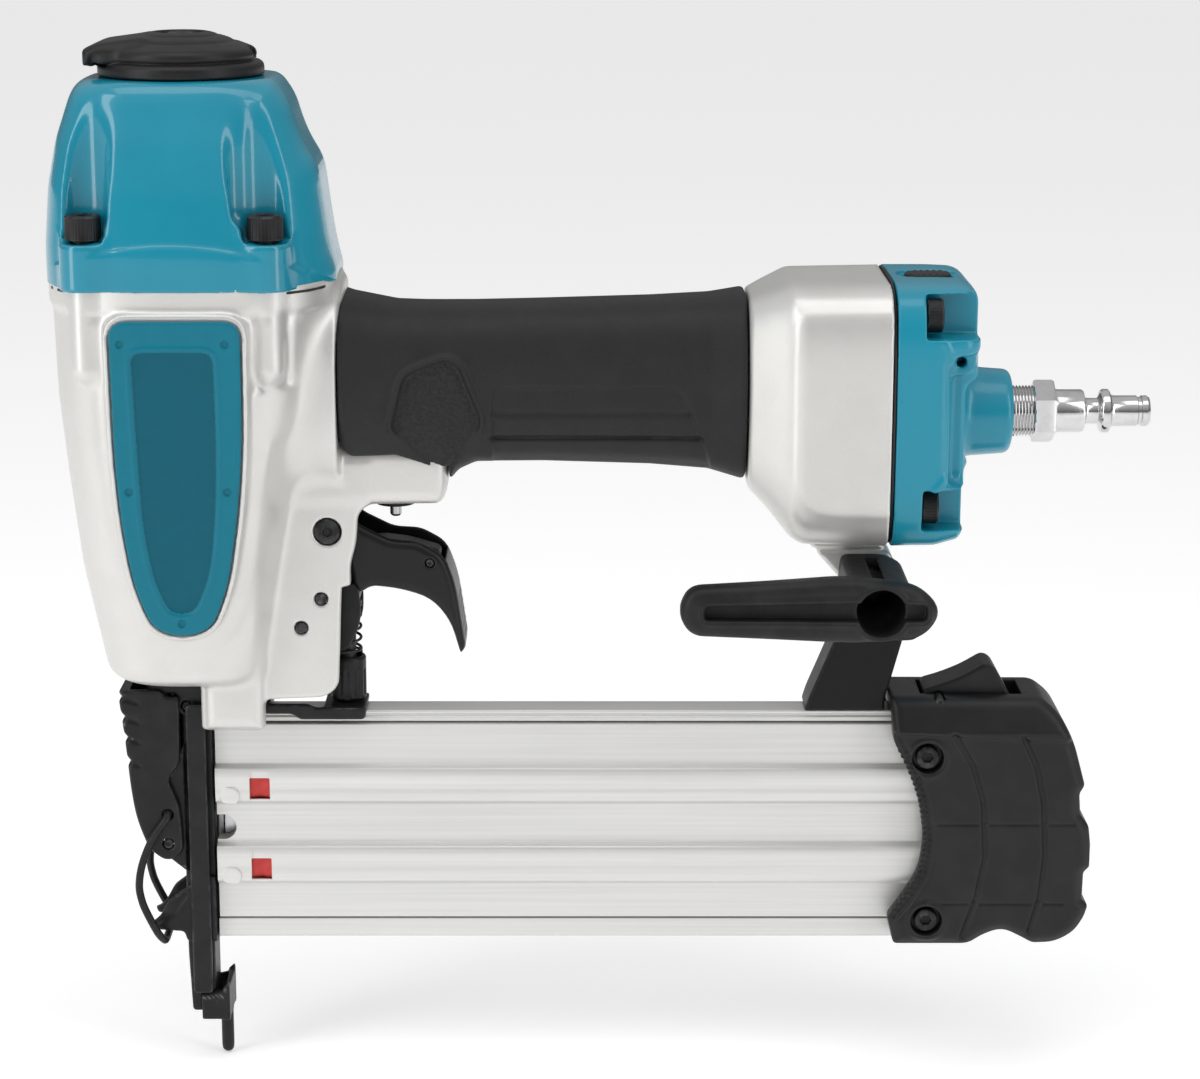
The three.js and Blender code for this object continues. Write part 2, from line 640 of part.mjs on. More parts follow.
function addNoseDoor() {
  const face = noseSplit - 0.15;
  const panel = plate([[face, 13.4, 0.5], [face, 98], [-9.3, 98], [-9.3, 30, 2], [-8.6, 13.4, 1]],
    [-noseHalf, noseHalf]);
  const knuckle = rod('y', 1.85, [-noseHalf, noseHalf], doorPivot, 20);
  const lugs = plate([[-9, 53], [-13.2, 56.8, 2], [-16.1, 59, 2.5], [-16.1, 64, 2.5], [-13.2, 66, 2], [-9, 71]],
    [-6.9, 6.9]);
  const between = block([-30, -10.6], [-4.6, 4.6], [40, 80]);
  add('nose_door', cut(
    join(panel, knuckle, cut(lugs, between)),
    rod('y', 1.5, [-20, 20], doorPivot, 12),
    rod('y', 1.6, [-20, 20], latchPivot, 12),
  ), blackSteel);
  add('door_pin', rod('y', 1.2, [-7.1, 7.1], doorPivot, 16), brightSteel);
}

function addLatchLever() {
  const body = plate([
    [-24.9, 103, 1.5], [-14.2, 102.8, 1], [-12.6, 101.2], [-9.2, 101, 1], [-9.6, 83.4, 2],
    [-13, 79, 2], [-10.2, 72, 2], [-9.6, 66, 2], [-9.4, 59, 2.5],
    [-13.4, 56.4, 3], [-18, 59.6, 3], [-21.1, 68, 4], [-22.3, 76.2, 4], [-23.4, 90, 4],
  ], [-8.8, 8.8]);
  const inside = plate([[-22.6, 110], [0, 110], [0, 40], [-30, 40], [-30, 64], [-19.6, 64], [-20, 76], [-21.2, 90]],
    [-7.3, 7.3]);
  add('latch_lever', cut(
    body,
    inside,
    rod('y', 1.6, [-20, 20], latchPivot, 12),
    rod('y', 1.35, [-20, 20], bailPivot, 12),
  ), blackSteel);
  add('latch_lever_pin', rod('y', 1.3, [-8.7, 8.7], latchPivot, 16), brightSteel);
}

function addWireBail() {
  const side = 10.3;
  const leg = [
    [bailPivot[0], 7.7, bailPivot[1]], [bailPivot[0], 9.2, bailPivot[1]],
    [bailPivot[0] - 0.6, side, bailPivot[1] - 1.6],
    [-17, side, 63.5], [-20, side, 56], [-20.9, side, 50.5], [-19.4, side, 43.5], [-16, side, 36.6],
    [-14.9, side - 1.6, 34.6], [-14.8, side - 3.6, 34.4],
  ];
  const far = [...leg].reverse().map(([x, y, z]) => [x, -y, z]);
  add('wire_bail', wire([...leg, [-14.8, 0, 34.4], ...far], 1, 40), brightSteel);
}

function addNoseBolts() {
  noseBoltSpots.forEach((spot, i) => {
    add(`nose_bolt_${i + 1}`, socketScrew('z', 101.7 - gap, 9.4, [2.6, 3, 1.7, 1.4], spot), blackSteel);
  });
}

// ---------------------------------------------------------------- magazine

const bulgeLow = [49.5, 60.9];
const bulgeHigh = [71.5, 82.3];

// The side wall of the magazine at a given Y, from the top down, with its two rounded ribs standing out.
function ribbedWall(flat, ridge) {
  return [bulgeHigh, bulgeLow].flatMap(([low, high]) => [
    [flat, high], [ridge, high - 1.4, 1], [ridge, low + 1.4, 1], [flat, low],
  ]);
}

function addMagazineRail() {
  const section = [
    [-4.4, magazineTop, 1], [-4.4, 93.5], [0.9, 93.5], [0.9, 39.6], [-5.5, 39.6], [-5.5, magazineBottom, 1],
    [5.5, magazineBottom, 1], ...ribbedWall(5.5, 8).reverse(), [5.5, 93.5], [4.4, magazineTop, 1],
  ];
  add('magazine_rail', bar(section, [magazineFront, magazineRear - 1]), aluminium);
}

function addMagazineCover() {
  const channel = ([low, high]) => [[-0.9, low + 2], [-6.6, low + 2], [-6.6, high - 2], [-0.9, high - 2]];
  const section = [
    [-0.9, 93.1], [-5.5, 93.1], ...ribbedWall(-5.5, -8), [-5.5, 40], [-0.9, 40],
    ...channel(bulgeLow), ...channel(bulgeHigh),
  ];
  const windows = [[52, 57.2], [74, 79.2]].map((z) => block([8.3, 13.6], [-12, -4], z));
  const notch = rod('y', 3.2, [-10, -0.2], [-0.4, 66.2], 20);
  add('magazine_cover', cut(bar(section, [magazineFront + 0.2, magazineRear]), notch, ...windows), aluminium);
}

function addPusher() {
  const blade = block([0.4, 34], [-0.55, 0.55], [41, 92]);
  const runners = [bulgeLow, bulgeHigh].map(([low, high]) => block([6, 32], [-6.2, 0], [low + 2.4, high - 2.4]));
  add('pusher', join(blade, ...runners), redPlastic);
}

const screwSpots = [[183.9, 86.4], [184.6, 42]];

function addRearCap() {
  const body = plate([
    [173.8, 101.6, 2], [176.6, 87, 6], [182.6, 66, 14], [177.6, 44, 6], [176, 35.2, 2], [196, 35.2, 4], [206, 40, 5],
    [212, 36, 2], [219.6, 36.4, 4], [227.2, 54, 6], [226, 72, 6], [220, 98, 4], [212, 101.8, 2],
  ], [-15, 15], 4);
  const magazineSpace = block([165, magazineRear + 0.6], [-8.5, 8.5], [20, magazineTop + 0.5]);
  const latchSpace = block([182.4, 208.4], [-6.4, 6.4], [magazineTop + 0.9, 120]);
  const thumbSpace = block([189.4, 208.4], [-6.4, 6.4], [90, 120]);
  const palmHollow = block([192, 221], [-11, 11], [44, 86]);
  const hollowWay = block([205, 216], [-8, 8], [30, 50]);
  add('rear_cap', cut(
    body,
    magazineSpace,
    latchSpace,
    thumbSpace,
    palmHollow,
    hollowWay,
    rod('y', 1.4, [-20, 20], magazineLatchPivot, 12),
    ...screwSpots.map((spot) => rod('y', 4, [-20, -11.2], spot, 12)),
    ...screwSpots.map((spot) => rod('y', 1.9, [-20, 0], spot, 8)),
  ), blackPlastic);
}

function addRearCapScrews() {
  screwSpots.forEach((spot, i) => {
    add(`rear_cap_screw_${i + 1}`, socketScrew('y', -11.2 - gap, 4.9, [3, 2.2, 1.6, 1.4], spot), blackSteel);
  });
}

function addMagazineLatch() {
  const lever = plate([
    [183.2, 98, 1], [183.2, 102.6, 1], [189, 104.8, 1], [199, 109.4, 1], [201.2, 108.6, 1], [206.4, 99.6, 1],
    [206, 98, 1], [192, 97.8],
  ], [-6, 6]);
  add('magazine_latch', cut(lever, rod('y', 1.4, [-20, 20], magazineLatchPivot, 12)), blackPlastic);
  add('magazine_latch_pin', rod('y', 1.1, [-14, 14], magazineLatchPivot, 12), brightSteel);
}

// The bracket under the rear chamber, which the belt hook and the magazine's stay are fastened to.
function addHookBracket() {
  const leg = plate([
    [151, 143.6], [170.8, 142.1], [174, 139.2, 2], [178, 130, 2], [178, 116.9], [160, 116.9], [162, 131, 2],
  ], [-6.5, 6.5]);
  add('hook_bracket', cut(leg, rod('y', 2.3, [-20, 20], hookScrew, 8)), silverPaint);
}

function addSupportStay() {
  const stay = plate([[152.5, 96.8], [173.2, 96.8], [173.2, 100], [177.6, 116.6], [160.2, 116.6], [153.4, 100]],
    [-6.5, 6.5]);
  add('support_stay', stay, blackSteel);
}

// ---------------------------------------------------------------- belt hook

function addBeltHook() {
  const arm = plate([
    [118, 133.2, 4], [121.4, 139.6, 4], [140, 140.6, 6], [160, 142, 6], [178, 139.6, 5], [183, 133.2, 4],
    [179, 126.6, 5], [160, 125.2, 6], [140, 126.2, 6], [121.4, 127, 4],
  ], [-46, -38]);
  const neck = plate([[160, 127.6, 2], [176.6, 127.6, 2], [176.6, 139, 3], [171, 141.4, 2], [161.4, 141.4, 2]],
    [-40, -6.9]);
  add('belt_hook', cut(
    join(arm, neck),
    rod('y', 5.6, [-60, -13], hookScrew, 16),
    rod('y', 2.4, [-60, 0], hookScrew, 12),
  ), blackRubber);
  add('hook_screw', socketScrew('y', -13 - gap, 18, [4.2, 3.6, 2, 2], hookScrew), blackSteel);
}

// ---------------------------------------------------------------- assembly

addHousing();
addBadges();
addGrip();
addCylinderCap();
addCapGasket();
addCapBolts();
addExhaust();
addEndCap();
addEndGasket();
addEndBolts();
addDusterButton();
addAirPlug();
addCylinder();
addTrigger();
addTriggerValve();
addBracketPins();
addContactArm();
addContactFoot();
addSafetyRod();
addDriverGuide();
addNoseDoor();
addLatchLever();
addWireBail();
addNoseBolts();
addMagazineRail();
addMagazineCover();
addPusher();
addRearCap();
addRearCapScrews();
addMagazineLatch();
addHookBracket();
addSupportStay();
addBeltHook();

export default nailGun;
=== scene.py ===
import json
import math

import bmesh
import bpy
import numpy as np
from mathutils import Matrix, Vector

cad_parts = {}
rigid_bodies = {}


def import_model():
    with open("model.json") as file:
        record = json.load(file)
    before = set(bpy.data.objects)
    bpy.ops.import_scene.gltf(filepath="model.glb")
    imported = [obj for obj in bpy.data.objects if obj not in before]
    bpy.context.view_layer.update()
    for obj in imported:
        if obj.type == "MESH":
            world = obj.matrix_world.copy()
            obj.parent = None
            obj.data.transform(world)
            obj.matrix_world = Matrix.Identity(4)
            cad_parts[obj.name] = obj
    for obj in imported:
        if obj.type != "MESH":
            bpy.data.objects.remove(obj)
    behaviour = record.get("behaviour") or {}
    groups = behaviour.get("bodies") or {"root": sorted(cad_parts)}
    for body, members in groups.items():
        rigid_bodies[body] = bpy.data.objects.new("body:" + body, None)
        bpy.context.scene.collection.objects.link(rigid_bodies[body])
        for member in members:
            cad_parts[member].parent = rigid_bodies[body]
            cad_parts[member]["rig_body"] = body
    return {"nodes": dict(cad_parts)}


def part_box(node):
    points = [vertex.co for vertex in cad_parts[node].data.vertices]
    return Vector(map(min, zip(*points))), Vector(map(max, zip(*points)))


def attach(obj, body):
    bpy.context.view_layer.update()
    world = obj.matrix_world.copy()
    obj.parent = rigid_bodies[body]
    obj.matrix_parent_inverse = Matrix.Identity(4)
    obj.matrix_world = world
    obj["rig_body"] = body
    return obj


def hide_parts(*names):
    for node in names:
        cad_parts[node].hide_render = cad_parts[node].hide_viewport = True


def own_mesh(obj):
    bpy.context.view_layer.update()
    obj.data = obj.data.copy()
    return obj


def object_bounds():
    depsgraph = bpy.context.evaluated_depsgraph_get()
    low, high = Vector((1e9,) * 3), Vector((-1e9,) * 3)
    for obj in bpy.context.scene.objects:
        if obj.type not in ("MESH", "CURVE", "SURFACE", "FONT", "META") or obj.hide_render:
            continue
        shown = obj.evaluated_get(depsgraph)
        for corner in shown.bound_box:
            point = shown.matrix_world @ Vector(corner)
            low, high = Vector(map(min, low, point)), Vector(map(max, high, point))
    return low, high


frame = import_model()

# Looks of the pneumatic nail gun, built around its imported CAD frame. Every cast or moulded piece is a
# distance field in millimetres (lofts, outlines and turned shapes, joined with fillets) that is skinned to
# a mesh. Turned pieces, screws, wires and the magazine's extrusions are meshed directly.

CAD_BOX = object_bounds()
MM = 0.001
COARSE = 1.0


def span(node):
    """Lowest and highest corner of a CAD node, in millimetres."""
    low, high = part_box(node)
    return np.array(low) / MM, np.array(high) / MM


def centre(node):
    low, high = span(node)
    return (low + high) / 2


# ---------------------------------------------------------------- fields

def fillet_max(a, b, k):
    """The larger of two fields (what they share), with its edge rounded over about k millimetres."""
    if k <= 0:
        return np.maximum(a, b)
    h = np.maximum(k - np.abs(a - b), 0) / k
    return np.maximum(a, b) + h * h * k / 4


def fillet_min(a, b, k):
    """The smaller of two fields (both together), with a fillet of about k millimetres where they meet."""
    return -fillet_max(-a, -b, k)


def cut(body, hole, k):
    """A field without a hole, with the hole's edge rounded."""
    return fillet_max(body, -hole, k)


def disc(u, v, at, radius):
    """A round bar about a point; with radius 0, the distance from its axis."""
    return np.hypot(u - at[0], v - at[1]) - radius


def band(t, low, high):
    """The slab between two places."""
    return np.abs(t - (low + high) / 2) - (high - low) / 2


def step(field, width):
    """1 well inside a field, 0 well outside it, with a soft edge."""
    return 0.5 - 0.5 * np.tanh(field / width)


def bump(distance, width):
    """1 at no distance, fading out over about the width."""
    return np.exp(-(distance / width) ** 2)


def block(x, y, z, xs, ys, zs, k):
    """A box with rounded edges, by its lowest and highest place on each axis."""
    return fillet_max(fillet_max(band(x, *xs), band(y, *ys), k), band(z, *zs), k)


def rounded(points, steps):
    """A closed outline with rounded corners. A point's third number says how far from it its curve starts."""
    ring = []
    for i, (a, b, *reach) in enumerate(points):
        corner = np.array((a, b), float)
        before = np.array(points[i - 1][:2]) - corner
        after = np.array(points[(i + 1) % len(points)][:2]) - corner
        sides = [np.linalg.norm(before), np.linalg.norm(after)]
        fit = min(reach[0] if reach else 0.3, 0.48 * sides[0], 0.48 * sides[1])
        start, end = corner + before / sides[0] * fit, corner + after / sides[1] * fit
        for t in np.linspace(0, 1, steps):
            ring.append((1 - t) ** 2 * start + 2 * t * (1 - t) * corner + t * t * end)
    return np.array(ring)


def polygon(u, v, points, steps=5):
    """Distance to a closed outline, negative inside it."""
    ring = rounded(points, steps)
    nearest, inside = None, False
    for (a, b), (c, d) in zip(ring, np.roll(ring, -1, axis=0)):
        along, up = c - a, d - b
        length = along * along + up * up
        if length < 1e-9:
            continue
        t = np.clip(((u - a) * along + (v - b) * up) / length, 0, 1)
        squared = (u - a - t * along) ** 2 + (v - b - t * up) ** 2
        nearest = squared if nearest is None else np.minimum(nearest, squared)
        if b != d:
            inside = inside ^ (((b > v) != (d > v)) & (u < along * (v - b) / up + a))
    return np.where(inside, -1, 1) * np.sqrt(nearest)


def line(u, v, points):
    """Distance to an open line through points."""
    nearest = None
    for (a, b), (c, d) in zip(points, points[1:]):
        along, up = c - a, d - b
        t = np.clip(((u - a) * along + (v - b) * up) / (along * along + up * up), 0, 1)
        squared = (u - a - t * along) ** 2 + (v - b - t * up) ** 2
        nearest = squared if nearest is None else np.minimum(nearest, squared)
    return np.sqrt(nearest)


def eased(t, knots, values, ease):
    """Values along t that follow the knots, with every corner eased over about that many millimetres."""
    count = 240
    fine = np.linspace(knots[0], knots[-1], count)
    rough = np.interp(fine, knots, values)
    reach = max(1, int(count * ease / (knots[-1] - knots[0])))
    window = np.hanning(2 * reach + 3)[1:-1]
    padded = np.pad(rough, reach, mode="reflect", reflect_type="odd")
    return np.interp(t, fine, np.convolve(padded, window / window.sum(), "valid"))


def loft(t, u, v, stations, power=3, ease=5, k=1.5):
    """A squarish body along t. Each station is t, lowest u, highest u and half width in v."""
    knots, low, high, half = np.array(stations, float).T
    u0, u1, w = (eased(t, knots, values, ease) for values in (low, high, half))
    reach = (u1 - u0) / 2
    total = np.abs((u - (u0 + u1) / 2) / reach) ** power + np.abs(v / w) ** power
    side = (total ** (1 / power) - 1) * (reach + w) / 2
    return fillet_max(side, np.maximum(knots[0] - t, t - knots[-1]), k)


def turned(r, t, profile):
    """A turned field. r is the distance from its axis, t the place along it, profile its outline in both."""
    first, last = profile[0], profile[-1]
    return polygon(r, t, [(-first[0], first[1]), *profile, (-last[0], last[1])], 3)


# ---------------------------------------------------------------- meshes

def new_object(name, mesh):
    obj = bpy.data.objects.new(name, mesh)
    bpy.context.scene.collection.objects.link(obj)
    return obj


def skin(name, field, low, high, pitch):
    """A mesh on the zero surface of field(x, y, z), with one vertex in each grid cell that it crosses.

    A vertex starts at the mean of the crossings on its cell's edges and then moves onto the surface."""
    pitch *= COARSE
    axes = [np.arange(a - 2 * pitch, b + 2.5 * pitch, pitch, dtype=np.float32) for a, b in zip(low, high)]
    x, y, z = np.meshgrid(*axes, indexing="ij", sparse=True)
    shape = tuple(len(a) for a in axes)
    value = np.broadcast_to(field(x, y, z), shape).astype(np.float32)
    inside = value < 0
    cells = tuple(n - 1 for n in shape)
    count = np.zeros(cells, np.int8)
    corners = [(i, j, k) for i in (0, 1) for j in (0, 1) for k in (0, 1)]

    def shifted(a, corner):
        return a[tuple(slice(c, c + n) for c, n in zip(corner, cells))]

    for corner in corners:
        count += shifted(inside, corner)
    active = np.argwhere((count > 0) & (count < 8))
    index = np.full(cells, -1, np.int32)
    index[tuple(active.T)] = np.arange(len(active))
    at = np.zeros((len(active), 3))
    hits = np.zeros((len(active), 1))
    for a in corners:
        for axis in range(3):
            if a[axis]:
                continue
            b = tuple(c + (i == axis) for i, c in enumerate(a))
            va, vb = (value[tuple((active + corner).T)] for corner in (a, b))
            crossed = (va < 0) != (vb < 0)
            t = np.where(crossed, va / np.where(crossed, va - vb, 1), 0)
            point = np.array(a, float) + t[:, None] * (np.arange(3) == axis)
            at += np.where(crossed[:, None], point, 0)
            hits += crossed[:, None]
    points = (active + at / hits) * pitch + [a[0] for a in axes]

    def sample(p):
        x, y, z = p.astype(np.float32).T
        return field(x, y, z)

    reach = 0.25 * pitch
    level = sample(points)
    slope = np.stack([sample(points + reach * e) - level for e in np.eye(3)], 1) / reach
    slope /= np.maximum((slope ** 2).sum(1, keepdims=True), 0.05)
    for _ in range(2):
        points -= np.clip(sample(points)[:, None] * slope, -0.4 * pitch, 0.4 * pitch)

    quads = []
    for axis in range(3):
        u, v = (axis + 1) % 3, (axis + 2) % 3
        first = np.moveaxis(inside, axis, 0)
        change = np.moveaxis(first[1:] != first[:-1], 0, axis)
        trim = tuple(slice(None) if i == axis else slice(1, -1) for i in range(3))
        spots = np.argwhere(change[trim])
        spots[:, [u, v]] += 1
        back = inside[tuple(spots.T)]
        ring = []
        for du, dv in ((1, 1), (0, 1), (0, 0), (1, 0)):
            cell = spots.copy()
            cell[:, u] -= du
            cell[:, v] -= dv
            ring.append(index[tuple(cell.T)])
        ring = np.stack(ring, 1)
        quads.append(np.where(back[:, None], ring, ring[:, ::-1]))
    return mesh_object(name, points * MM, np.concatenate(quads))


def mesh_object(name, points, quads):
    mesh = bpy.data.meshes.new(name)
    mesh.vertices.add(len(points))
    mesh.vertices.foreach_set("co", np.asarray(points, np.float32).ravel())
    mesh.loops.add(quads.size)
    mesh.loops.foreach_set("vertex_index", quads.astype(np.int32).ravel())
    mesh.polygons.add(len(quads))
    mesh.polygons.foreach_set("loop_start", np.arange(0, quads.size, quads.shape[1], dtype=np.int32))
    mesh.polygons.foreach_set("use_smooth", np.ones(len(quads), bool))
    mesh.update(calc_edges=True)
    return new_object(name, mesh)


def hexagon(across):
    """Radius of a hexagon at an angle, by its size across the flats."""
    return lambda angle: across / 2 / math.cos((angle + math.pi / 6) % (math.pi / 3) - math.pi / 6)


def knurled(radius):
    """Radius of a knurled head at an angle."""
    teeth, depth = 36, 0.12
    return lambda angle: radius - depth * (0.5 + 0.5 * math.cos(teeth * angle))


X, Y, Z = (1, 0, 0), (0, 1, 0), (0, 0, 1)
AXES = {"x": (Y, Z, X), "y": (Z, X, Y), "z": (X, Y, Z)}


def spun(name, axis, rings, at, sides, sharp=34):
    """A turned piece about the axis through a point. Each ring is its radius, or a function of the angle,
    and its place along the axis."""
    across, up, along = (np.array(a, float) for a in AXES[axis])
    base = np.array(at, float) * (1 - along)
    loops = []
    for radius, place in rings:
        loop = []
        for i in range(sides):
            angle = 2 * math.pi * i / sides
            r = radius(angle) if callable(radius) else radius
            outward = math.cos(angle) * across + math.sin(angle) * up
            loop.append(base + along * place + r * outward)
        loops.append(loop)
    return through_loops(name, loops, sharp)


def through_loops(name, loops, sharp):
    """A closed piece through loops of points, in millimetres, with its ends capped."""
    bm = bmesh.new()
    rings = [[bm.verts.new(point * MM) for point in loop] for loop in loops]
    sides = len(rings[0])
    for low, high in zip(rings, rings[1:]):
        for i in range(sides):
            j = (i + 1) % sides
            bm.faces.new((low[i], low[j], high[j], high[i]))
    bm.faces.new(reversed(rings[0]))
    bm.faces.new(rings[-1])
    return from_bmesh(name, bm, sharp)


def from_bmesh(name, bm, sharp=34):
    """A smooth-shaded piece from a bmesh, with edges sharper than an angle in degrees kept sharp."""
    bmesh.ops.remove_doubles(bm, verts=bm.verts, dist=1e-7)
    bmesh.ops.recalc_face_normals(bm, faces=bm.faces)
    mesh = bpy.data.meshes.new(name)
    bm.to_mesh(mesh)
    bm.free()
    mesh.polygons.foreach_set("use_smooth", np.ones(len(mesh.polygons), bool))
    mesh.set_sharp_from_angle(angle=math.radians(sharp))
    return new_object(name, mesh)


def swept(name, path, radius, sides):
    """A round wire along a smooth path of points, in millimetres, with rounded ends."""
    path = np.array(path, float)
    tangent = np.gradient(path, axis=0)
    tangent /= np.linalg.norm(tangent, axis=1, keepdims=True)
    side = np.cross(tangent[0], (0.3, 0.5, 0.8))
    rings = []
    for p, t in zip(path, tangent):
        side = side - t * side.dot(t)
        side /= np.linalg.norm(side)
        rings.append((p, t, side.copy(), np.cross(t, side)))
    ends = [(-1, 0.15), (-0.75, 0.66), (-0.35, 0.93)]
    frames = [(rings[0], shift, size) for shift, size in ends] + [(ring, 0, 1) for ring in rings]
    frames += [(rings[-1], -shift, size) for shift, size in reversed(ends)]
    angles = 2 * math.pi * np.arange(sides) / sides
    loops = [[p + t * shift * radius + radius * size * (math.cos(q) * a + math.sin(q) * b) for q in angles]
             for (p, t, a, b), shift, size in frames]
    return through_loops(name, loops, 60)


def smooth_path(points, steps=8):
    """A smooth line through points, with some steps from each to the next."""
    p = np.array(points, float)
    p = np.vstack([2 * p[0] - p[1], p, 2 * p[-1] - p[-2]])
    out = []
    for a, b, c, d in zip(p, p[1:], p[2:], p[3:]):
        for t in np.arange(steps) / steps:
            out.append(0.5 * (2 * b + (c - a) * t + (2 * a - 5 * b + 4 * c - d) * t * t
                              + (3 * b - a - 3 * c + d) * t ** 3))
    return out + [p[-2]]


def along_x(name, section, x0, x1):
    """An extrusion along X from a rounded section in Y and Z."""
    ring = rounded(section, 6)
    ring = ring[np.linalg.norm(ring - np.roll(ring, 1, axis=0), axis=1) > 1e-4]
    return through_loops(name, [[np.array((x, y, z)) for y, z in ring] for x in (x0, x1)], 20)


def subtract(obj, *cutters):
    """Cuts other pieces out of a piece, and removes them."""
    for cutter in cutters:
        tool = obj.modifiers.new("cut", "BOOLEAN")
        tool.operation, tool.solver, tool.object = "DIFFERENCE", "EXACT", cutter
    bpy.context.view_layer.update()
    result = obj.evaluated_get(bpy.context.evaluated_depsgraph_get())
    made = bpy.data.meshes.new_from_object(result)
    obj.modifiers.clear()
    obj.data = made
    for cutter in cutters:
        bpy.data.objects.remove(cutter)
    obj.data.set_sharp_from_angle(angle=math.radians(25))
    return obj


def mirrored(obj, name):
    """A copy of a piece on the other side of the tool's mid-plane."""
    mesh = obj.data.copy()
    mesh.transform(((1, 0, 0, 0), (0, -1, 0, 0), (0, 0, 1, 0), (0, 0, 0, 1)))
    mesh.flip_normals()
    return new_object(name, mesh)


# ---------------------------------------------------------------- materials

class Surface:
    """One procedural material: a Principled shader that object-space noise colours, roughens and bumps."""

    def __init__(self, name, color, roughness, metallic=0.0, **sockets):
        self.material = bpy.data.materials.new(name)
        self.material.use_nodes = True
        self.nodes, self.links = self.material.node_tree.nodes, self.material.node_tree.links
        self.shader = self.nodes["Principled BSDF"]
        self.height = None
        self.set("Base Color", (*color, 1))
        self.set("Roughness", roughness)
        self.set("Metallic", metallic)
        for socket, value in sockets.items():
            self.set(socket.replace("_", " "), value)
        self.where = self.nodes.new("ShaderNodeTexCoord").outputs["Object"]

    def set(self, socket, value):
        self.shader.inputs[socket].default_value = value

    def node(self, kind, *inputs, **settings):
        """A new node with (socket, source) links, and settings for its properties or sockets."""
        node = self.nodes.new(kind)
        for key, value in settings.items():
            if key in node.bl_rna.properties:
                setattr(node, key, value)
            else:
                node.inputs[key.replace("_", " ")].default_value = value
        for socket, source in inputs:
            self.links.new(source, node.inputs[socket])
        return node

    def noise(self, size, detail=3.0, stretch=(1, 1, 1)):
        """Noise whose features are about size millimetres."""
        where = self.node("ShaderNodeMapping", ("Vector", self.where), Scale=stretch).outputs["Vector"]
        return self.node("ShaderNodeTexNoise", ("Vector", where), Scale=1 / (size * MM), Detail=detail,
                         Roughness=0.55).outputs["Fac"]

    def cells(self, size):
        """Rounded grains of about size millimetres."""
        return self.node("ShaderNodeTexVoronoi", ("Vector", self.where), feature="SMOOTH_F1",
                         Scale=1 / (size * MM), Smoothness=0.6).outputs["Distance"]

    def ramp(self, source, low, high):
        """Source as a value from 0 to 1 between two levels."""
        spread = self.node("ShaderNodeMapRange", ("Value", source), From_Min=low, From_Max=high)
        return spread.outputs["Result"]

    def edges(self, low=0.52, high=0.62):
        """1 on worn outer edges, broken up by noise."""
        point = self.ramp(self.node("ShaderNodeNewGeometry").outputs["Pointiness"], low, high)
        broken = self.ramp(self.noise(2.2), 0.42, 0.62)
        return self.node("ShaderNodeMath", (0, point), (1, broken), operation="MULTIPLY").outputs[0]

    def hollows(self, low=0.40, high=0.49):
        """1 in corners and hollows, for painted shade that darkens them."""
        return self.ramp(self.node("ShaderNodeNewGeometry").outputs["Pointiness"], high, low)

    def tint(self, mask, color, amount=1.0):
        """Mixes a colour in by a mask."""
        base = self.shader.inputs["Base Color"]
        strength = self.node("ShaderNodeMath", (0, mask), operation="MULTIPLY")
        strength.inputs[1].default_value = amount
        mix = self.node("ShaderNodeMix", ("Factor", strength.outputs[0]), data_type="RGBA")
        before, added, mixed = mix.inputs[6], mix.inputs[7], mix.outputs[2]
        if base.is_linked:
            self.links.new(base.links[0].from_socket, before)
        else:
            before.default_value = base.default_value
        added.default_value = (*color, 1)
        self.links.new(mixed, base)
        return self

    def mottle(self, color, amount, low, high, *noise):
        """Mixes a colour in where noise lies between two levels."""
        return self.tint(self.ramp(self.noise(*noise), low, high), color, amount)

    def vary_roughness(self, mask, low, high):
        """Roughness between two values, by a mask."""
        spread = self.node("ShaderNodeMapRange", ("Value", mask), To_Min=low, To_Max=high)
        self.links.new(spread.outputs["Result"], self.shader.inputs["Roughness"])
        return self

    def relief(self, source, depth):
        """Adds a bump of about depth millimetres."""
        bump_node = self.node("ShaderNodeBump", ("Height", source), Strength=1.0, Distance=depth * MM)
        if self.height is not None:
            self.links.new(self.height, bump_node.inputs["Normal"])
        self.height = bump_node.outputs["Normal"]
        self.links.new(self.height, self.shader.inputs["Normal"])
        return self


def housing_paint():
    s = Surface("housing_paint", (0.68, 0.672, 0.652), 0.36, 0.55, Coat_Weight=0.2, Coat_Roughness=0.25)
    s.mottle((0.63, 0.622, 0.6), 0.5, 0.4, 0.65, 14)
    s.mottle((0.8, 0.8, 0.79), 0.35, 0.55, 0.75, 0.25, 1)
    # painted shade: the silver paint is darkened in hollows and corners
    s.tint(s.hollows(), (0.4, 0.39, 0.37), 0.35)
    s.vary_roughness(s.noise(5), 0.34, 0.46)
    return s.relief(s.noise(0.9, 4), 0.018).relief(s.noise(0.28, 1), 0.006)


def teal_paint():
    s = Surface("teal_paint", (0.007, 0.25, 0.36), 0.24, 0.0, Coat_Weight=0.6, Coat_Roughness=0.06,
                Specular_IOR_Level=0.35)
    s.mottle((0.005, 0.215, 0.315), 0.5, 0.35, 0.7, 18)
    # painted shade: the teal paint is darkened in hollows and corners
    s.tint(s.hollows(), (0.003, 0.12, 0.17), 0.5)
    s.vary_roughness(s.noise(4), 0.2, 0.3)
    return s.relief(s.noise(1.4, 2), 0.012)


def cast_teal_paint():
    s = Surface("teal_paint_cast", (0.007, 0.25, 0.36), 0.3, 0.0, Specular_IOR_Level=0.35, Coat_Weight=0.3,
                Coat_Roughness=0.12)
    # painted shade: the cast teal paint is darkened in hollows and corners
    s.tint(s.hollows(), (0.003, 0.12, 0.17), 0.5)
    s.vary_roughness(s.noise(3), 0.24, 0.36)
    return s.relief(s.noise(0.8, 4), 0.035)


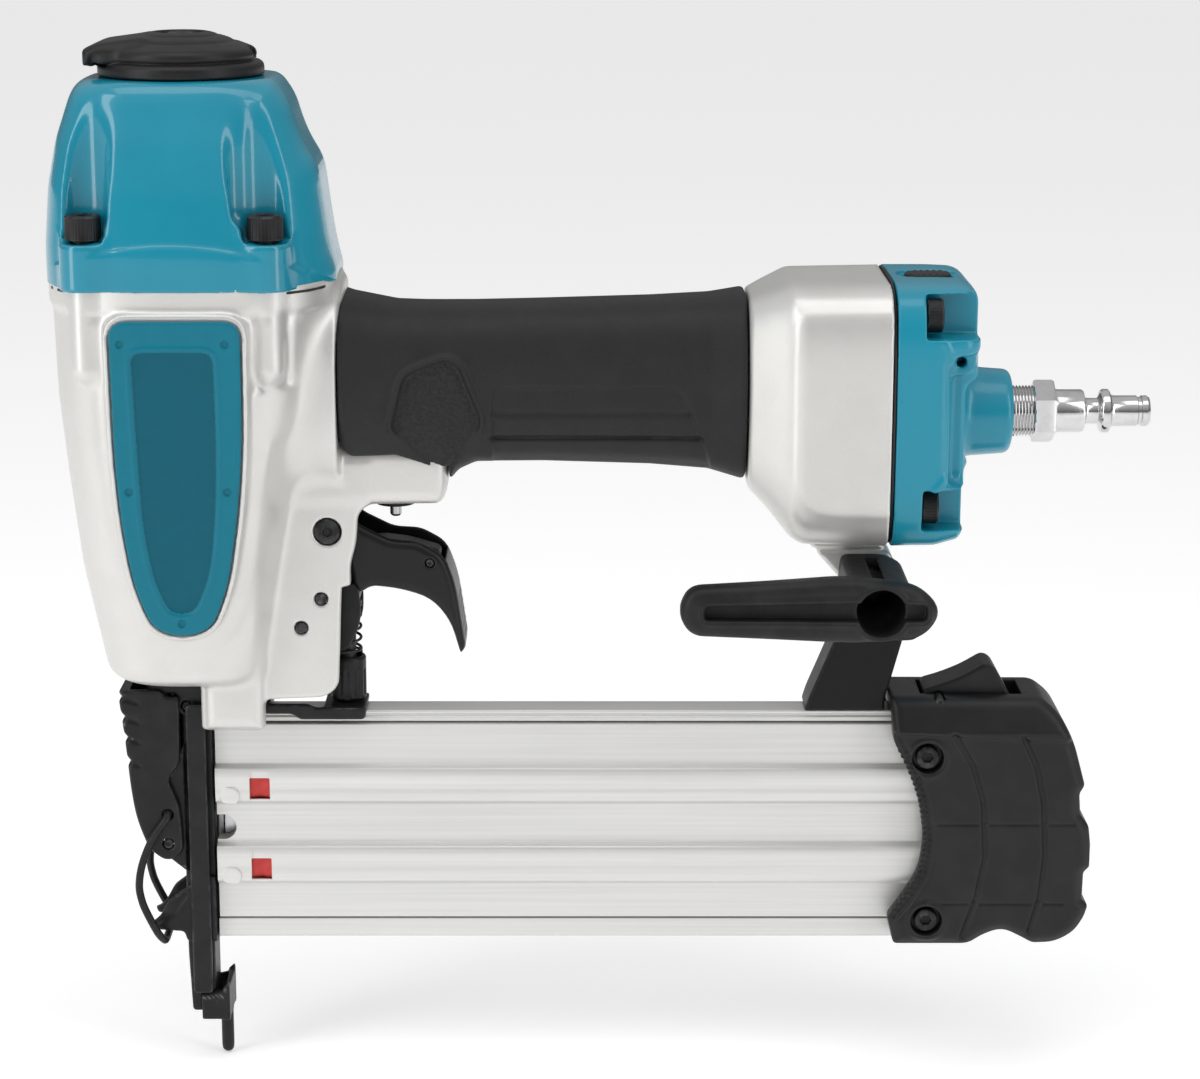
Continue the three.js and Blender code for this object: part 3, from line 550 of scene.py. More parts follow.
def badge_plastic():
    s = Surface("badge_plastic", (0.001, 0.165, 0.24), 0.38, 0.0, Specular_IOR_Level=0.25)
    s.mottle((0.001, 0.15, 0.215), 0.5, 0.4, 0.7, 6)
    s.vary_roughness(s.noise(1.5), 0.3, 0.44)
    return s.relief(s.noise(0.5), 0.006)


def badge_panel():
    s = Surface("badge_panel", (0.0005, 0.1, 0.15), 0.45, 0.0, Specular_IOR_Level=0.2)
    s.mottle((0.0005, 0.088, 0.13), 0.5, 0.4, 0.7, 4)
    s.vary_roughness(s.noise(0.8), 0.36, 0.5)
    return s.relief(s.noise(0.35, 2), 0.012)


def grip_rubber():
    s = Surface("grip_rubber", (0.014, 0.014, 0.0145), 0.52, 0.0, Specular_IOR_Level=0.3)
    s.mottle((0.018, 0.018, 0.018), 0.6, 0.4, 0.7, 9)
    s.mottle((0.03, 0.03, 0.03), 0.3, 0.5, 0.8, 0.5, 2)
    s.vary_roughness(s.noise(3), 0.48, 0.64)
    return s.relief(s.noise(0.32, 2), 0.03)


def grip_pebble():
    s = Surface("grip_rubber_pebbled", (0.012, 0.012, 0.0125), 0.6, 0.0, Specular_IOR_Level=0.26)
    s.tint(s.cells(0.9), (0.035, 0.035, 0.035), 0.5)
    s.vary_roughness(s.noise(1), 0.5, 0.7)
    return s.relief(s.cells(0.85), 0.22).relief(s.noise(0.25), 0.03)


def hook_rubber():
    s = Surface("hook_rubber", (0.01, 0.01, 0.0105), 0.5, 0.0, Specular_IOR_Level=0.28)
    s.mottle((0.024, 0.024, 0.024), 0.6, 0.4, 0.7, 7)
    s.vary_roughness(s.noise(2.5), 0.42, 0.58)
    return s.relief(s.noise(0.3, 2), 0.02)


def bumper_rubber():
    s = Surface("bumper_rubber", (0.05, 0.045, 0.04), 0.7)
    s.vary_roughness(s.noise(2), 0.6, 0.8)
    return s.relief(s.noise(0.4), 0.03)


def black_plastic():
    s = Surface("black_plastic", (0.009, 0.009, 0.0095), 0.42, 0.0, Specular_IOR_Level=0.3)
    s.mottle((0.017, 0.017, 0.018), 0.6, 0.4, 0.7, 8)
    s.tint(s.edges(0.53, 0.66), (0.06, 0.06, 0.06), 0.5)
    s.vary_roughness(s.noise(2), 0.34, 0.5)
    return s.relief(s.noise(0.22, 2), 0.016)


def trigger_plastic():
    s = Surface("trigger_plastic", (0.007, 0.007, 0.0075), 0.36, 0.0, Specular_IOR_Level=0.3)
    s.tint(s.edges(0.53, 0.66), (0.05, 0.05, 0.05), 0.5)
    s.vary_roughness(s.noise(2), 0.28, 0.42)
    return s.relief(s.noise(0.3, 2), 0.012)


def red_plastic():
    s = Surface("red_plastic", (0.62, 0.03, 0.025), 0.38, 0.0, Subsurface_Weight=0.05, Subsurface_Scale=0.002)
    s.mottle((0.72, 0.06, 0.05), 0.5, 0.4, 0.7, 2)
    s.vary_roughness(s.noise(1), 0.32, 0.46)
    return s.relief(s.noise(0.4), 0.008)


def black_steel():
    s = Surface("black_steel", (0.01, 0.0102, 0.011), 0.38, 0.15, Specular_IOR_Level=0.3)
    s.mottle((0.018, 0.018, 0.019), 0.7, 0.4, 0.7, 5)
    s.tint(s.edges(), (0.24, 0.24, 0.25), 0.55)
    s.vary_roughness(s.noise(1.6, 4), 0.3, 0.5)
    return s.relief(s.noise(0.35, 3), 0.012)


def bracket_paint():
    s = Surface("bracket_paint", (0.006, 0.006, 0.0065), 0.45, 0.0, Specular_IOR_Level=0.22)
    s.tint(s.edges(), (0.1, 0.1, 0.1), 0.5)
    s.vary_roughness(s.noise(3), 0.36, 0.52)
    return s.relief(s.noise(0.5, 3), 0.012)


def bright_steel():
    s = Surface("bright_steel", (0.55, 0.55, 0.56), 0.28, 1.0, Anisotropic=0.3)
    s.mottle((0.4, 0.4, 0.41), 0.5, 0.4, 0.7, 1.2, 3, (1, 1, 0.15))
    s.vary_roughness(s.noise(0.6, 3, (1, 1, 0.1)), 0.2, 0.36)
    return s.relief(s.noise(0.3, 2, (1, 1, 0.1)), 0.003)


def plug_chrome():
    s = Surface("plug_chrome", (0.64, 0.635, 0.64), 0.14, 1.0)
    s.mottle((0.52, 0.51, 0.51), 0.5, 0.45, 0.7, 3)
    s.vary_roughness(s.noise(0.8, 3), 0.09, 0.22)
    return s.relief(s.noise(0.5, 2, (0.1, 1, 1)), 0.002)


def aluminium():
    s = Surface("aluminium", (0.7, 0.695, 0.68), 0.4, 0.55, Anisotropic=0.35)
    s.mottle((0.6, 0.595, 0.58), 0.55, 0.4, 0.62, 1.1, 4, (0.012, 1, 1))
    s.mottle((0.72, 0.715, 0.7), 0.4, 0.4, 0.7, 16, 2, (0.3, 1, 1))
    s.vary_roughness(s.noise(0.7, 4, (0.01, 1, 1)), 0.33, 0.5)
    return s.relief(s.noise(0.35, 3, (0.01, 1, 1)), 0.006)


def gasket():
    s = Surface("gasket", (0.02, 0.02, 0.021), 0.8)
    s.vary_roughness(s.noise(1), 0.7, 0.9)
    return s.relief(s.noise(0.3), 0.02)


MATERIALS = {make.__name__: make().material for make in (
    housing_paint, teal_paint, badge_plastic, grip_rubber, hook_rubber, bumper_rubber, black_plastic,
    trigger_plastic, red_plastic, black_steel, bracket_paint, bright_steel, plug_chrome, aluminium, gasket)}
CAST_TEAL = cast_teal_paint().material
BADGE_PANEL = badge_panel().material
GRIP_PEBBLE = grip_pebble().material


def join(obj, node):
    """Puts a piece on a CAD node's body."""
    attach(obj, frame["nodes"][node]["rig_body"])


def fit_piece(obj, node, slot, material=None):
    """Gives a piece its material, and puts it on its CAD node's body in that node's place."""
    obj.data.materials.clear()
    obj.data.materials.append(material or MATERIALS[slot])
    join(obj, node)
    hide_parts(node)
    return obj


def turn(node, axis, rings, slot, sides, sharp=34, at=None):
    """A turned piece that stands for a CAD node, about the axis through a point or the node's centre."""
    at = centre(node) if at is None else at
    fit_piece(spun(node + "_look", axis, rings, at, sides, sharp), node, slot)


def added_piece(name, field, low, high, pitch, node, slot):
    """A skinned piece that no CAD node has, on a node's body."""
    look = skin(name, field, low, high, pitch)
    look.data.materials.append(MATERIALS[slot])
    join(look, node)


def carve(field, slot, pitch, material=None, node=None):
    """A field skinned inside its CAD node's box, as that node's piece. The field has the node's name."""
    node = node or field.__name__
    low, high = span(node)

    def boxed(x, y, z):
        return np.maximum(field(x, y, z), block(x, y, z, *zip(low, high), k=0))

    return fit_piece(skin(node + "_look", boxed, low, high, pitch), node, slot, material)


def second_material(obj, material, inside):
    """Gives the faces whose centres satisfy inside(x, y, z), in millimetres, another material."""
    mesh = obj.data
    mesh.materials.append(material)
    centres = np.empty(len(mesh.polygons) * 3, np.float32)
    mesh.polygons.foreach_get("center", centres)
    x, y, z = centres.reshape(-1, 3).T / MM
    mesh.polygons.foreach_set("material_index", inside(x, y, z).astype(np.int32))


def keep_node(node, slot):
    """A CAD node that shows as it is, with a finished material."""
    for entry in frame["nodes"][node].material_slots:
        entry.link = "OBJECT"
        entry.material = MATERIALS[slot]


# ---------------------------------------------------------------- the frame's shared places

DRIVER = centre("cylinder_sleeve")[:2]
PLUG = centre("air_plug")[1:]
TRIGGER = centre("trigger_pin")[[0, 2]]
TRIGGER_LEVER = centre("trigger_lever_pin")[[0, 2]]
VALVE = centre("trigger_valve")[:2]
ROD = centre("safety_rod")[:2]
DOOR = centre("door_pin")[[0, 2]]
LATCH = centre("latch_lever_pin")[[0, 2]]
HOOK_SCREW = centre("hook_screw")[[0, 2]]
MAGAZINE_LATCH = centre("magazine_latch_pin")[[0, 2]]
CAP_BOLTS = [centre(f"cap_bolt_{i}")[:2] for i in (1, 2, 3, 4)]
END_BOLTS = [centre(f"end_cap_bolt_{i}")[1:] for i in (1, 2, 3, 4)]
BRACKET_PINS = [centre(f"bracket_pin_{i}")[[0, 2]] for i in (1, 2)]
SCREW_SPOTS = [centre(f"rear_cap_screw_{i}")[[0, 2]] for i in (1, 2)]
HOUSING_TOP = span("housing")[1][2]
CAP_LOW, CAP_HIGH = span("cylinder_cap")
SIDE_FOOT, SIDE_HALF = 109, 24
SIDE_TILT = math.atan2(9, 94)

BADGE = [(-19.8, 203.6, 4.5), (-19.9, 170, 10), (-18.9, 152, 10), (-16.6, 136, 8), (-12.4, 124.8, 5),
         (-5.2, 122.4, 4), (2.4, 124.8, 5), (6.8, 136, 8), (10, 155, 10), (11.6, 173, 8), (12.2, 203.6, 4.5)]
BADGE_PANEL_OUTLINE = [(-14.7, 196, 3), (-14.3, 172, 8), (-13.7, 151, 8), (-11.5, 137, 6), (-8, 128.8, 3.5),
                       (-1.8, 128.8, 3.5), (2.6, 139, 6), (4.6, 155, 8), (5.4, 172, 6), (5.4, 196, 3)]
SHIELD = [(-25.4, 204, 4), (-24.4, 171, 6), (-20.9, 141.4, 8), (-15.5, 122.4, 7), (-6.3, 116.6, 8),
          (8.4, 121, 8), (12.8, 137.4, 6), (15.4, 157, 6), (17.9, 169.3, 5), (23.4, 175.5, 6), (25.2, 204, 5)]


def side_height(y, z):
    """How far a point stands out from the barrel's leaning side, which starts SIDE_HALF out at SIDE_FOOT."""
    side = SIDE_HALF + (z - SIDE_FOOT) * math.tan(SIDE_TILT)
    return (np.abs(y) - side) * math.cos(SIDE_TILT)


# ---------------------------------------------------------------- housing

def barrel(x, y, z):
    body = loft(z, x, y, [
        (106, -26, 14.6, 21.5), (109, -27.9, 15.6, 23.6), (137, -33.4, 20, 26.6), (161, -36, 24, 29.2),
        (181, -37.8, 28, 31), (203, -38.3, 33.2, 33), (HOUSING_TOP + 8, -38.6, 33.8, 33.4)],
        power=2.85, ease=4, k=5)
    body = np.maximum(body, z - HOUSING_TOP)
    body = body + 0.75 * step(z - 204.6, 0.7)
    body = body - 1.15 * step(polygon(x, z, SHIELD), 1.5)
    flutes = bump(line(x, z, [(15.9, 207), (15.7, 187)]), 1.9)
    flutes = flutes + bump(line(x, z, [(22.3, 207), (21.9, 187)]), 1.7)
    body = body + 1.2 * flutes * step(z - 205, 1.2)
    ridge = [(17.9, 169.3), (15.7, 152), (13.4, 137), (11.6, 120)]
    body = body - 0.5 * bump(line(x, z, ridge), 2.2)
    rim = np.maximum(polygon(x, z, BADGE) - 1.5, side_height(y, z) - 2.3)
    rim = fillet_max(rim, -side_height(y, z) - 9, 1)
    body = fillet_min(body, rim, 1.6)
    return cut(body, np.maximum(polygon(x, z, BADGE) - 0.35, 1.45 - side_height(y, z)), 0.3)


def chamber(x, y, z):
    rear = span("housing")[1][0]
    body = loft(x, z, y, [
        (136.4, 157.5, 205, 19), (141, 153, 207.2, 22.5), (147, 145.6, 209.8, 27), (150, 144, 209.8, 28),
        (rear + 6, 143.5, 210.2, 28.6)], power=6, ease=1.6, k=1)
    body = np.maximum(body, x - rear)
    face = polygon(x, z, [(146.5, 205.6, 3), (146.5, 160, 5), (153, 152.6, 6), (190, 152.6), (190, 205.6)])
    return body - 0.45 * step(fillet_max(face, 26 - np.abs(y), 3), 0.9)


def trigger_cheeks(x, y, z):
    outline = polygon(x, z, [
        (-3, 93.8, 1), (11.4, 93.8, 1), (12.4, 101.6, 1), (29, 102.3, 3), (32.4, 105, 3), (33.6, 131.4, 0.5),
        (36, 131.8, 1), (36, 137.5, 2), (37.6, 143, 2), (38, 150.4, 3), (41, 153.4), (41, 164), (10, 164),
        (-3, 112)])
    plate = fillet_max(outline, np.abs(y) - 12.6, 1.2)
    mount = fillet_max(polygon(x, z, [(-2, 93.8, 1), (13.4, 93.8, 1), (13.8, 112), (11, 120), (-2, 120)]),
                       np.abs(y) - 15.2, 4)
    shelf = polygon(x, z, [(20, 152.4), (59.2, 152.8, 3), (60.8, 156.4, 2), (60.8, 168), (20, 168)])
    tongue = fillet_max(shelf, np.abs(y) - 12.6, 4)
    space = block(x, y, z, (-20, 60), (-10.2, 10.2), (60, 152.4), 0.8)
    return cut(fillet_min(fillet_min(plate, mount, 1.5), tongue, 1.5), space, 0.4)


def housing(x, y, z):
    core = loft(x, z, y, [(20, 167.5, 198.5, 11.5), (142, 167.5, 198.5, 11.5)])
    root = loft(x, z, y, [(14, 158, 204, 16), (24, 157.6, 205.6, 18), (33.6, 157.2, 206.8, 19.5)], k=1.2)
    rib = polygon(x, z, [(10, 112.5), (25, 112.5, 3), (28.6, 117, 2), (28.6, 124.4, 1), (31, 126.2, 1),
                         (31, 134, 2), (27, 138, 2), (10, 138)])
    rib = fillet_max(rib, np.abs(y) - 6, 1)
    metal = fillet_min(barrel(x, y, z), root, 7)
    metal = fillet_min(metal, core, 1.5)
    metal = fillet_min(metal, chamber(x, y, z), 2.5)
    metal = fillet_min(metal, trigger_cheeks(x, y, z), 2.2)
    metal = np.minimum(metal, rib)
    for spot in CAP_BOLTS:
        boss = np.hypot(disc(x, y, spot, 0), np.maximum(191 - z, 0)) - 3.9
        metal = fillet_min(metal, np.maximum(boss, z - HOUSING_TOP), 2.4)
    about = disc(x, y, DRIVER, 0)
    holes = [
        np.maximum(about - 21.5, 128 - z),
        np.maximum(about - 17.4, 112.1 - z),
        loft(x, z, y, [(-4, 171, 195, 8.5), (150, 171, 195, 8.5)]),
        block(x, y, z, (146, 180), (-16.4, 16.4), (148, 206.5), 3),
        block(x, y, z, (150, 180), (-25, 25), (159.5, 193), 3),
        np.maximum(disc(x, y, VALVE, 6.2), band(z, 150, 175)),
        np.maximum(disc(x, z, TRIGGER, 2.3), band(y, -9, 20)),
        np.maximum(disc(x, z, TRIGGER, 3.6), y + 9),
        block(x, y, z, (-8.4, 20), (-9.9, -7.2), (90, 109.4), 0.3),
        block(x, y, z, (DRIVER[0] - 1.2, DRIVER[0] + 1.2), (-1.6, 1.6), (100, 120), 0.3),
    ]
    holes += [disc(x, z, spot, 1.75) for spot in BRACKET_PINS]
    holes += [np.maximum(disc(x, y, spot, 2.6), 194 - z) for spot in CAP_BOLTS]
    holes += [np.maximum(disc(y, z, spot, 2.9), 155 - x) for spot in END_BOLTS]
    for hole in holes:
        metal = cut(metal, hole, 0.35)
    return metal


def badge(x, y, z):
    height = side_height(y, z)
    plate = fillet_max(polygon(x, z, BADGE), band(height, 1.7, 2.9), 0.7)
    plate = plate + 0.55 * step(polygon(x, z, BADGE_PANEL_OUTLINE), 0.28) * step(2.2 - height, 0.1)
    border = polygon(x, z, BADGE_PANEL_OUTLINE)
    plate = plate - 0.22 * bump(border - 0.9, 0.5) * step(2.2 - height, 0.1)
    for spot in ((-17, 198), (8.4, 198), (-16.6, 160.6), (7.6, 160.6), (-5, 126.2)):
        plate = cut(plate, np.maximum(disc(x, z, spot, 1), 2.35 - height), 0.25)
    return plate


def make_housing():
    carve(housing, "housing_paint", 0.6)
    look = carve(badge, "badge_plastic", 0.32, node="badge_right")

    def on_panel(x, y, z):
        return (polygon(x, z, BADGE_PANEL_OUTLINE) < -0.1) & (side_height(y, z) > 2)

    second_material(look, BADGE_PANEL, on_panel)
    left = mirrored(look, "badge_left_look")
    join(left, "badge_left")
    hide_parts("badge_left")


# ---------------------------------------------------------------- grip

PATCH = [(46.4, 173.5, 2), (49.9, 187.8, 3), (61, 191.8, 2), (64.6, 189.9, 2), (70.6, 175, 3),
         (60.6, 158.5, 1)]


def grip(x, y, z):
    body = loft(x, z, y, [
        (34, 165.4, 206.4, 19.6), (36.5, 162.8, 205.4, 19.2), (48, 162, 203.2, 17.4), (55, 159, 203, 17),
        (60.4, 156.6, 203, 17), (63.4, 160.6, 203, 16.8), (68, 162.7, 203, 16.6), (85, 162.8, 203.4, 16.4),
        (112, 162, 204.2, 16.6), (127, 160.8, 205, 17.4), (136, 158.2, 206.4, 20)], ease=1.6, k=1.6)
    border = np.abs(polygon(x, z, PATCH))
    edge = step(line(x, z, [(46.4, 173.5), (49.9, 187.8), (61, 191.8), (64.6, 189.9), (70.6, 175)]) - 3, 1)
    body = body - 1.15 * bump(border, 0.8) * edge + 0.6 * step(polygon(x, z, PATCH) + 0.8, 0.3)
    side = step(8 - np.abs(y), 1.5)
    panel = polygon(x, z, [(72.4, 183.8), (119.6, 183.8, 3), (124.4, 172, 4), (127, 164, 2), (127, 158),
                           (72.4, 158)])
    body = body + 0.8 * step(panel, 0.3) * side
    body = body + 0.6 * bump(line(x, z, [(72.4, 176.9), (122, 176.9)]), 0.6) * side
    body = body + 1.0 * bump(line(x, z, [(72, 170.6), (124.8, 170.6)]), 0.6) * side
    bore = loft(x, z, y, [(20, 167.1, 198.9, 11.9), (150, 167.1, 198.9, 11.9)])
    tongue = block(x, y, z, (20, 61.2), (-13, 13), (140, 168.4), 2)
    return cut(cut(body, bore, 0.4), tongue, 1.4)


def make_grip():
    look = carve(grip, "grip_rubber", 0.5)
    second_material(look, GRIP_PEBBLE, lambda x, y, z: (polygon(x, z, PATCH) < -1.1) & (np.abs(y) > 12))


# ---------------------------------------------------------------- cylinder cap and exhaust

def cylinder_cap(x, y, z):
    base = CAP_LOW[2]
    body = loft(z, x, y, [
        (base - 8, -38.6, 33.8, 33.4), (218.7, -38.8, 31.6, 33.2), (233.7, -37.6, 28.2, 31.6),
        (245, -35.4, 24.8, 28.8), (256.1, -31.6, 20.6, 25), (CAP_HIGH[2], -29, 18.6, 22.6)],
        power=2.85, ease=3.5, k=3)
    body = np.maximum(body, base - z)
    hump = polygon(x, z, [(0, base), (33.8, base), (33.8, 212, 2), (32, 218, 5), (30.8, 229, 5),
                          (29.8, 238.6, 7), (25.4, 245, 7), (22.6, 254.6, 6), (19, 259.2, 2), (0, 259.2)])
    body = fillet_min(body, fillet_max(hump, np.abs(y) - 22, 14), 3)
    shoulder = 221.6 - 0.0068 * (x + 5) ** 2 - z
    skirt = step(23 - np.abs(y), 1.5) * step(base + 1.6 - z, 0.5)
    body = body + 0.75 * step(shoulder, 0.5) * skirt
    for spot in CAP_BOLTS:
        about = disc(x, y, spot, 0)
        body = fillet_min(body, np.maximum(about - 5.9, z - 222), 3.2)
        body = cut(body, fillet_max(about - 5.9, 222 - z, 0.8), 1.6)
        inner = disc(x, y, (spot[0] + (4 if spot[0] < 0 else -6.2), spot[1]), 2.6)
        body = cut(body, fillet_max(inner, 226 - z, 3), 2.2)
        body = cut(body, about - 2.9, 0.2)
    about = disc(x, y, DRIVER, 0)
    body = cut(body, np.maximum(about - 23, z - 246), 0.5)
    return cut(body, about - 2.4, 0.3)


def exhaust_cover(x, y, z):
    low, high = span("exhaust_cover")
    radius = disc(x, y, DRIVER, 0)
    facing = (DRIVER[0] - x) / np.maximum(radius, 1)
    lip = step(0.80 - facing, 0.07) * step(16 - radius, 2)
    ring = turned(radius, z, [(20.6, low[2]), (20.6, low[2] + 2.4, 0.8), (19.6, low[2] + 3.4, 0.8),
                              (15, low[2] + 3.6)])
    neck = turned(radius, z, [(18.1, low[2] + 1), (18.1, 266)])
    dome = turned(radius - 4.3 * lip, z + 0.9 * lip, [
        (12, 263.9), (18.7, 263.9, 0.6), (19.1, 265.2, 0.8), (18.2, 266.6, 1.5), (12, 269, 4),
        (7.9, high[2] - 0.3, 0.8), (6.4, high[2], 0.4), (5.4, 268.2, 1), (0.2, 267.6)])
    grooves = 0.3 * bump(radius - 13.6, 0.7) + 0.2 * bump(radius - 9.6, 0.5)
    dome = dome + grooves * step(266 - z, 0.5)
    shell = fillet_min(fillet_min(ring, neck, 0.5), dome, 0.8)
    shell = cut(shell, fillet_max(radius - 16.8, z - 265.4, 1), 0.5)
    mouth = block(x, y, z, (-25, -12), (-11.4, 11.4), (low[2] + 2.6, 264.3), 0.8)
    hood = fillet_max(polygon(x, z, [
        (-27.6, 262.8, 0.5), (-27.8, 266.6, 1.2), (-24.5, 268.3, 2), (-12, 270, 3), (-10, 266),
        (-13, 264.6, 2), (-24.4, 264.4, 1), (-25.4, 262.8, 0.4)], 7), np.abs(y) - 12.5, 3.5)
    notch = block(x, y, z, (12.2, 20), (-4, 4), (264.4, 268), 0.5)
    shell = fillet_min(cut(shell, mouth, 0.5), hood, 1.5)
    return cut(cut(shell, notch, 0.4), radius - 2.3, 0.2)


def make_top():
    carve(cylinder_cap, "teal_paint", 0.45)
    carve(exhaust_cover, "black_plastic", 0.3)


# ---------------------------------------------------------------- rear end

def end_cap(x, y, z):
    low, high = span("end_cap")
    body = loft(x, z, y, [
        (low[0] - 8, 143.5, 210.2, 28.6), (183, 143.8, 210.2, 28.6), (189, 145.4, 210, 27.8),
        (192.8, 149, 209, 26)], power=6, ease=1.5, k=3)
    body = np.maximum(body, low[0] - x)
    about = disc(y, z, PLUG, 0)
    boss = fillet_max(about - 11.6 + 0.07 * (x - 190), x - high[0], 2.2)
    waist = fillet_max(fillet_max(184.8 - x, 21.5 - np.abs(y), 3), band(z, 160.5, 193.5), 4)
    body = cut(body, waist, 2.5)
    rear = fillet_max(190 - x, band(z, 140, 186), 3)
    body = cut(body, rear, 2)
    body = fillet_min(body, fillet_max(boss, 180 - x, 1), 4)
    for side, height in END_BOLTS:
        outward = np.sign(side)
        pocket = fillet_max(179 - x, 16.9 - y * outward, 1)
        pocket = fillet_max(pocket, band(z, height - 5.3, height + 5.3), 1)
        body = cut(body, pocket, 0.5)
        body = cut(body, disc(y, z, (side, height), 2.9), 0.2)
    knob = polygon(x, z, [(184, 172, 1), (188.6, 169.4, 1.4), (191.4, 165.4, 1.6), (188.4, 161.6, 1.4),
                          (184, 162.4, 1)])
    knob = fillet_max(knob, band(np.abs(y), 13, 20), 2)
    body = fillet_min(body, knob, 0.8)
    ear = np.maximum(disc(x, z, (188.2, 191.6), 3.4), band(np.abs(y), 14, 23.4))
    body = fillet_min(body, ear, 1.6)
    body = cut(body, np.maximum(disc(x, z, (188.2, 191.6), 1.3), 17 - np.abs(y)), 0.3)
    seam = line(x, z, [(183.6, 197), (186, 192), (185.4, 180), (185.2, 164), (182, 160)])
    body = body - 0.45 * bump(seam, 0.9)
    slot = polygon(x, y, [(174.2, -6.2, 5), (190, -6.2, 5), (190, 6.2, 5), (174.2, 6.2, 5)])
    body = cut(body, fillet_max(slot, 209.2 - z, 0.5), 0.4)
    body = cut(body, np.maximum(about - 7, 185 - x), 0.5)
    hollow = block(x, y, z, (160, 183), (-14.8, 14.8), (148, 206.5), 3)
    button = polygon(x, y, [(175.4, -5, 4.2), (188.6, -5, 4.2), (188.6, 5, 4.2), (175.4, 5, 4.2)])
    return cut(cut(body, hollow, 1), np.maximum(button, 200 - z), 0.3)


def duster_button(x, y, z):
    low, high = span("duster_button")
    edge = polygon(x, y, [
        (low[0], low[1], 4), (high[0], low[1], 4), (high[0], high[1], 4), (low[0], high[1], 4)])
    top = step(high[2] - 0.8 - z, 0.2) * step(edge + 1, 0.3)
    grooves = 0.15 * np.cos(2 * math.pi * (x - low[0]) / 1.6) * top
    return fillet_max(edge, band(z, low[2], high[2]), 1.2) - grooves + 0.16


def hook_bracket(x, y, z):
    body = fillet_max(polygon(x, z, [
        (151, 143.6), (170.8, 142.2), (174, 139.2, 2), (178, 130, 2), (178, 116.9), (160, 116.9),
        (162, 131, 2)]), np.abs(y) - 6.5, 1)
    body = body + 0.5 * bump(z - 139.8, 0.55) + 0.3 * step(134.6 - z, 0.3) * step(167 - x, 0.5)
    return cut(body, disc(x, z, HOOK_SCREW, 2.3), 0.3)


def support_stay(x, y, z):
    body = polygon(x, z, [
        (152.5, 96.8), (173.2, 96.8), (173.2, 100, 2), (177.6, 116.6), (160.2, 116.6), (153.4, 100, 2)])
    body = fillet_max(body, np.abs(y) - 6.5, 0.8)
    return body + 0.5 * step(fillet_max(body + 2, 5.6 - np.abs(y), 0.6), 0.4)


def belt_hook(x, y, z):
    arm_outline = polygon(x, z, [
        (118, 133.2, 5), (120.8, 139.4, 4), (140, 140.5, 6), (160, 142, 6), (177, 139.8, 6), (183, 133.6, 5),
        (178.6, 126.8, 5), (160, 125.4, 6), (140, 126.4, 6), (121.2, 127.2, 5)], 7)
    arm = fillet_max(arm_outline, band(y, -45.6, -38), 3.2)
    neck = polygon(x, z, [(159.6, 125.8, 2), (176.9, 125.8, 2), (176.9, 136.8, 3), (171.4, 139.2, 2),
                          (160.8, 139.2, 2)])
    neck = fillet_max(neck, band(y, -42, -6.9), 1.2)
    body = fillet_min(arm, neck, 2)
    long_slot = polygon(x, z, [(124.6, 135.1, 1.2), (163, 135.9, 1), (163, 131.3, 1), (124.6, 131.6, 1.2)])
    short_slot = polygon(x, z, [(168, 135.6, 1), (179, 135.4, 1.4), (179, 131.4, 1.4), (168, 131.2, 1)])
    slots = np.minimum(long_slot, short_slot)
    eye = disc(x, z, HOOK_SCREW, 5.9)
    opening = fillet_min(slots, eye, 0.6)
    body = body - 0.4 * bump(opening - 0.9, 0.55) * step(y + 44, 0.5)
    body = cut(body, np.maximum(slots, y + 42.4), 0.5)
    body = cut(body, np.maximum(eye, y + 13), 0.5)
    return cut(body, disc(x, z, HOOK_SCREW, 2.4), 0.3)


def make_rear():
    carve(end_cap, "teal_paint", 0.45, CAST_TEAL)
    carve(duster_button, "black_plastic", 0.22)
    carve(hook_bracket, "housing_paint", 0.4)
    carve(support_stay, "bracket_paint", 0.4)
    carve(belt_hook, "hook_rubber", 0.4)
    low, high = span("air_plug")
    threads = [ring for i in range(7) for ring in (
        (6.6, 203.9 + 0.8 * i), (6.05, 204.25 + 0.8 * i), (6.05, 204.4 + 0.8 * i), (6.6, 204.7 + 0.8 * i))]
    turn("air_plug", "x", [
        (2.6, low[0]), (6.4, low[0]), (6.6, 194)] + threads + [
        (6.6, 209.4), (hexagon(13.4), 209.5), (hexagon(14), 210), (hexagon(14), 214.3),
        (hexagon(13.2), 214.9), (5.7, 215.1), (5.5, 216), (5.5, 221.9), (5.2, 222.4), (3.6, 222.9),
        (3.3, 223.4), (3.3, 226), (3.7, 226.4), (5.2, 226.8), (5.6, 227.4), (5.6, 228.7), (5.3, 229),
        (4.3, 229.4), (3.95, 230.1), (3.95, 236), (3.6, 236.3), (3.6, 237), (3.95, 237.3), (3.95, 238.6),
        (3.5, high[0]), (2.8, high[0]), (2.6, high[0] - 0.3), (2.6, low[0])], "plug_chrome", 96)


# ---------------------------------------------------------------- trigger group

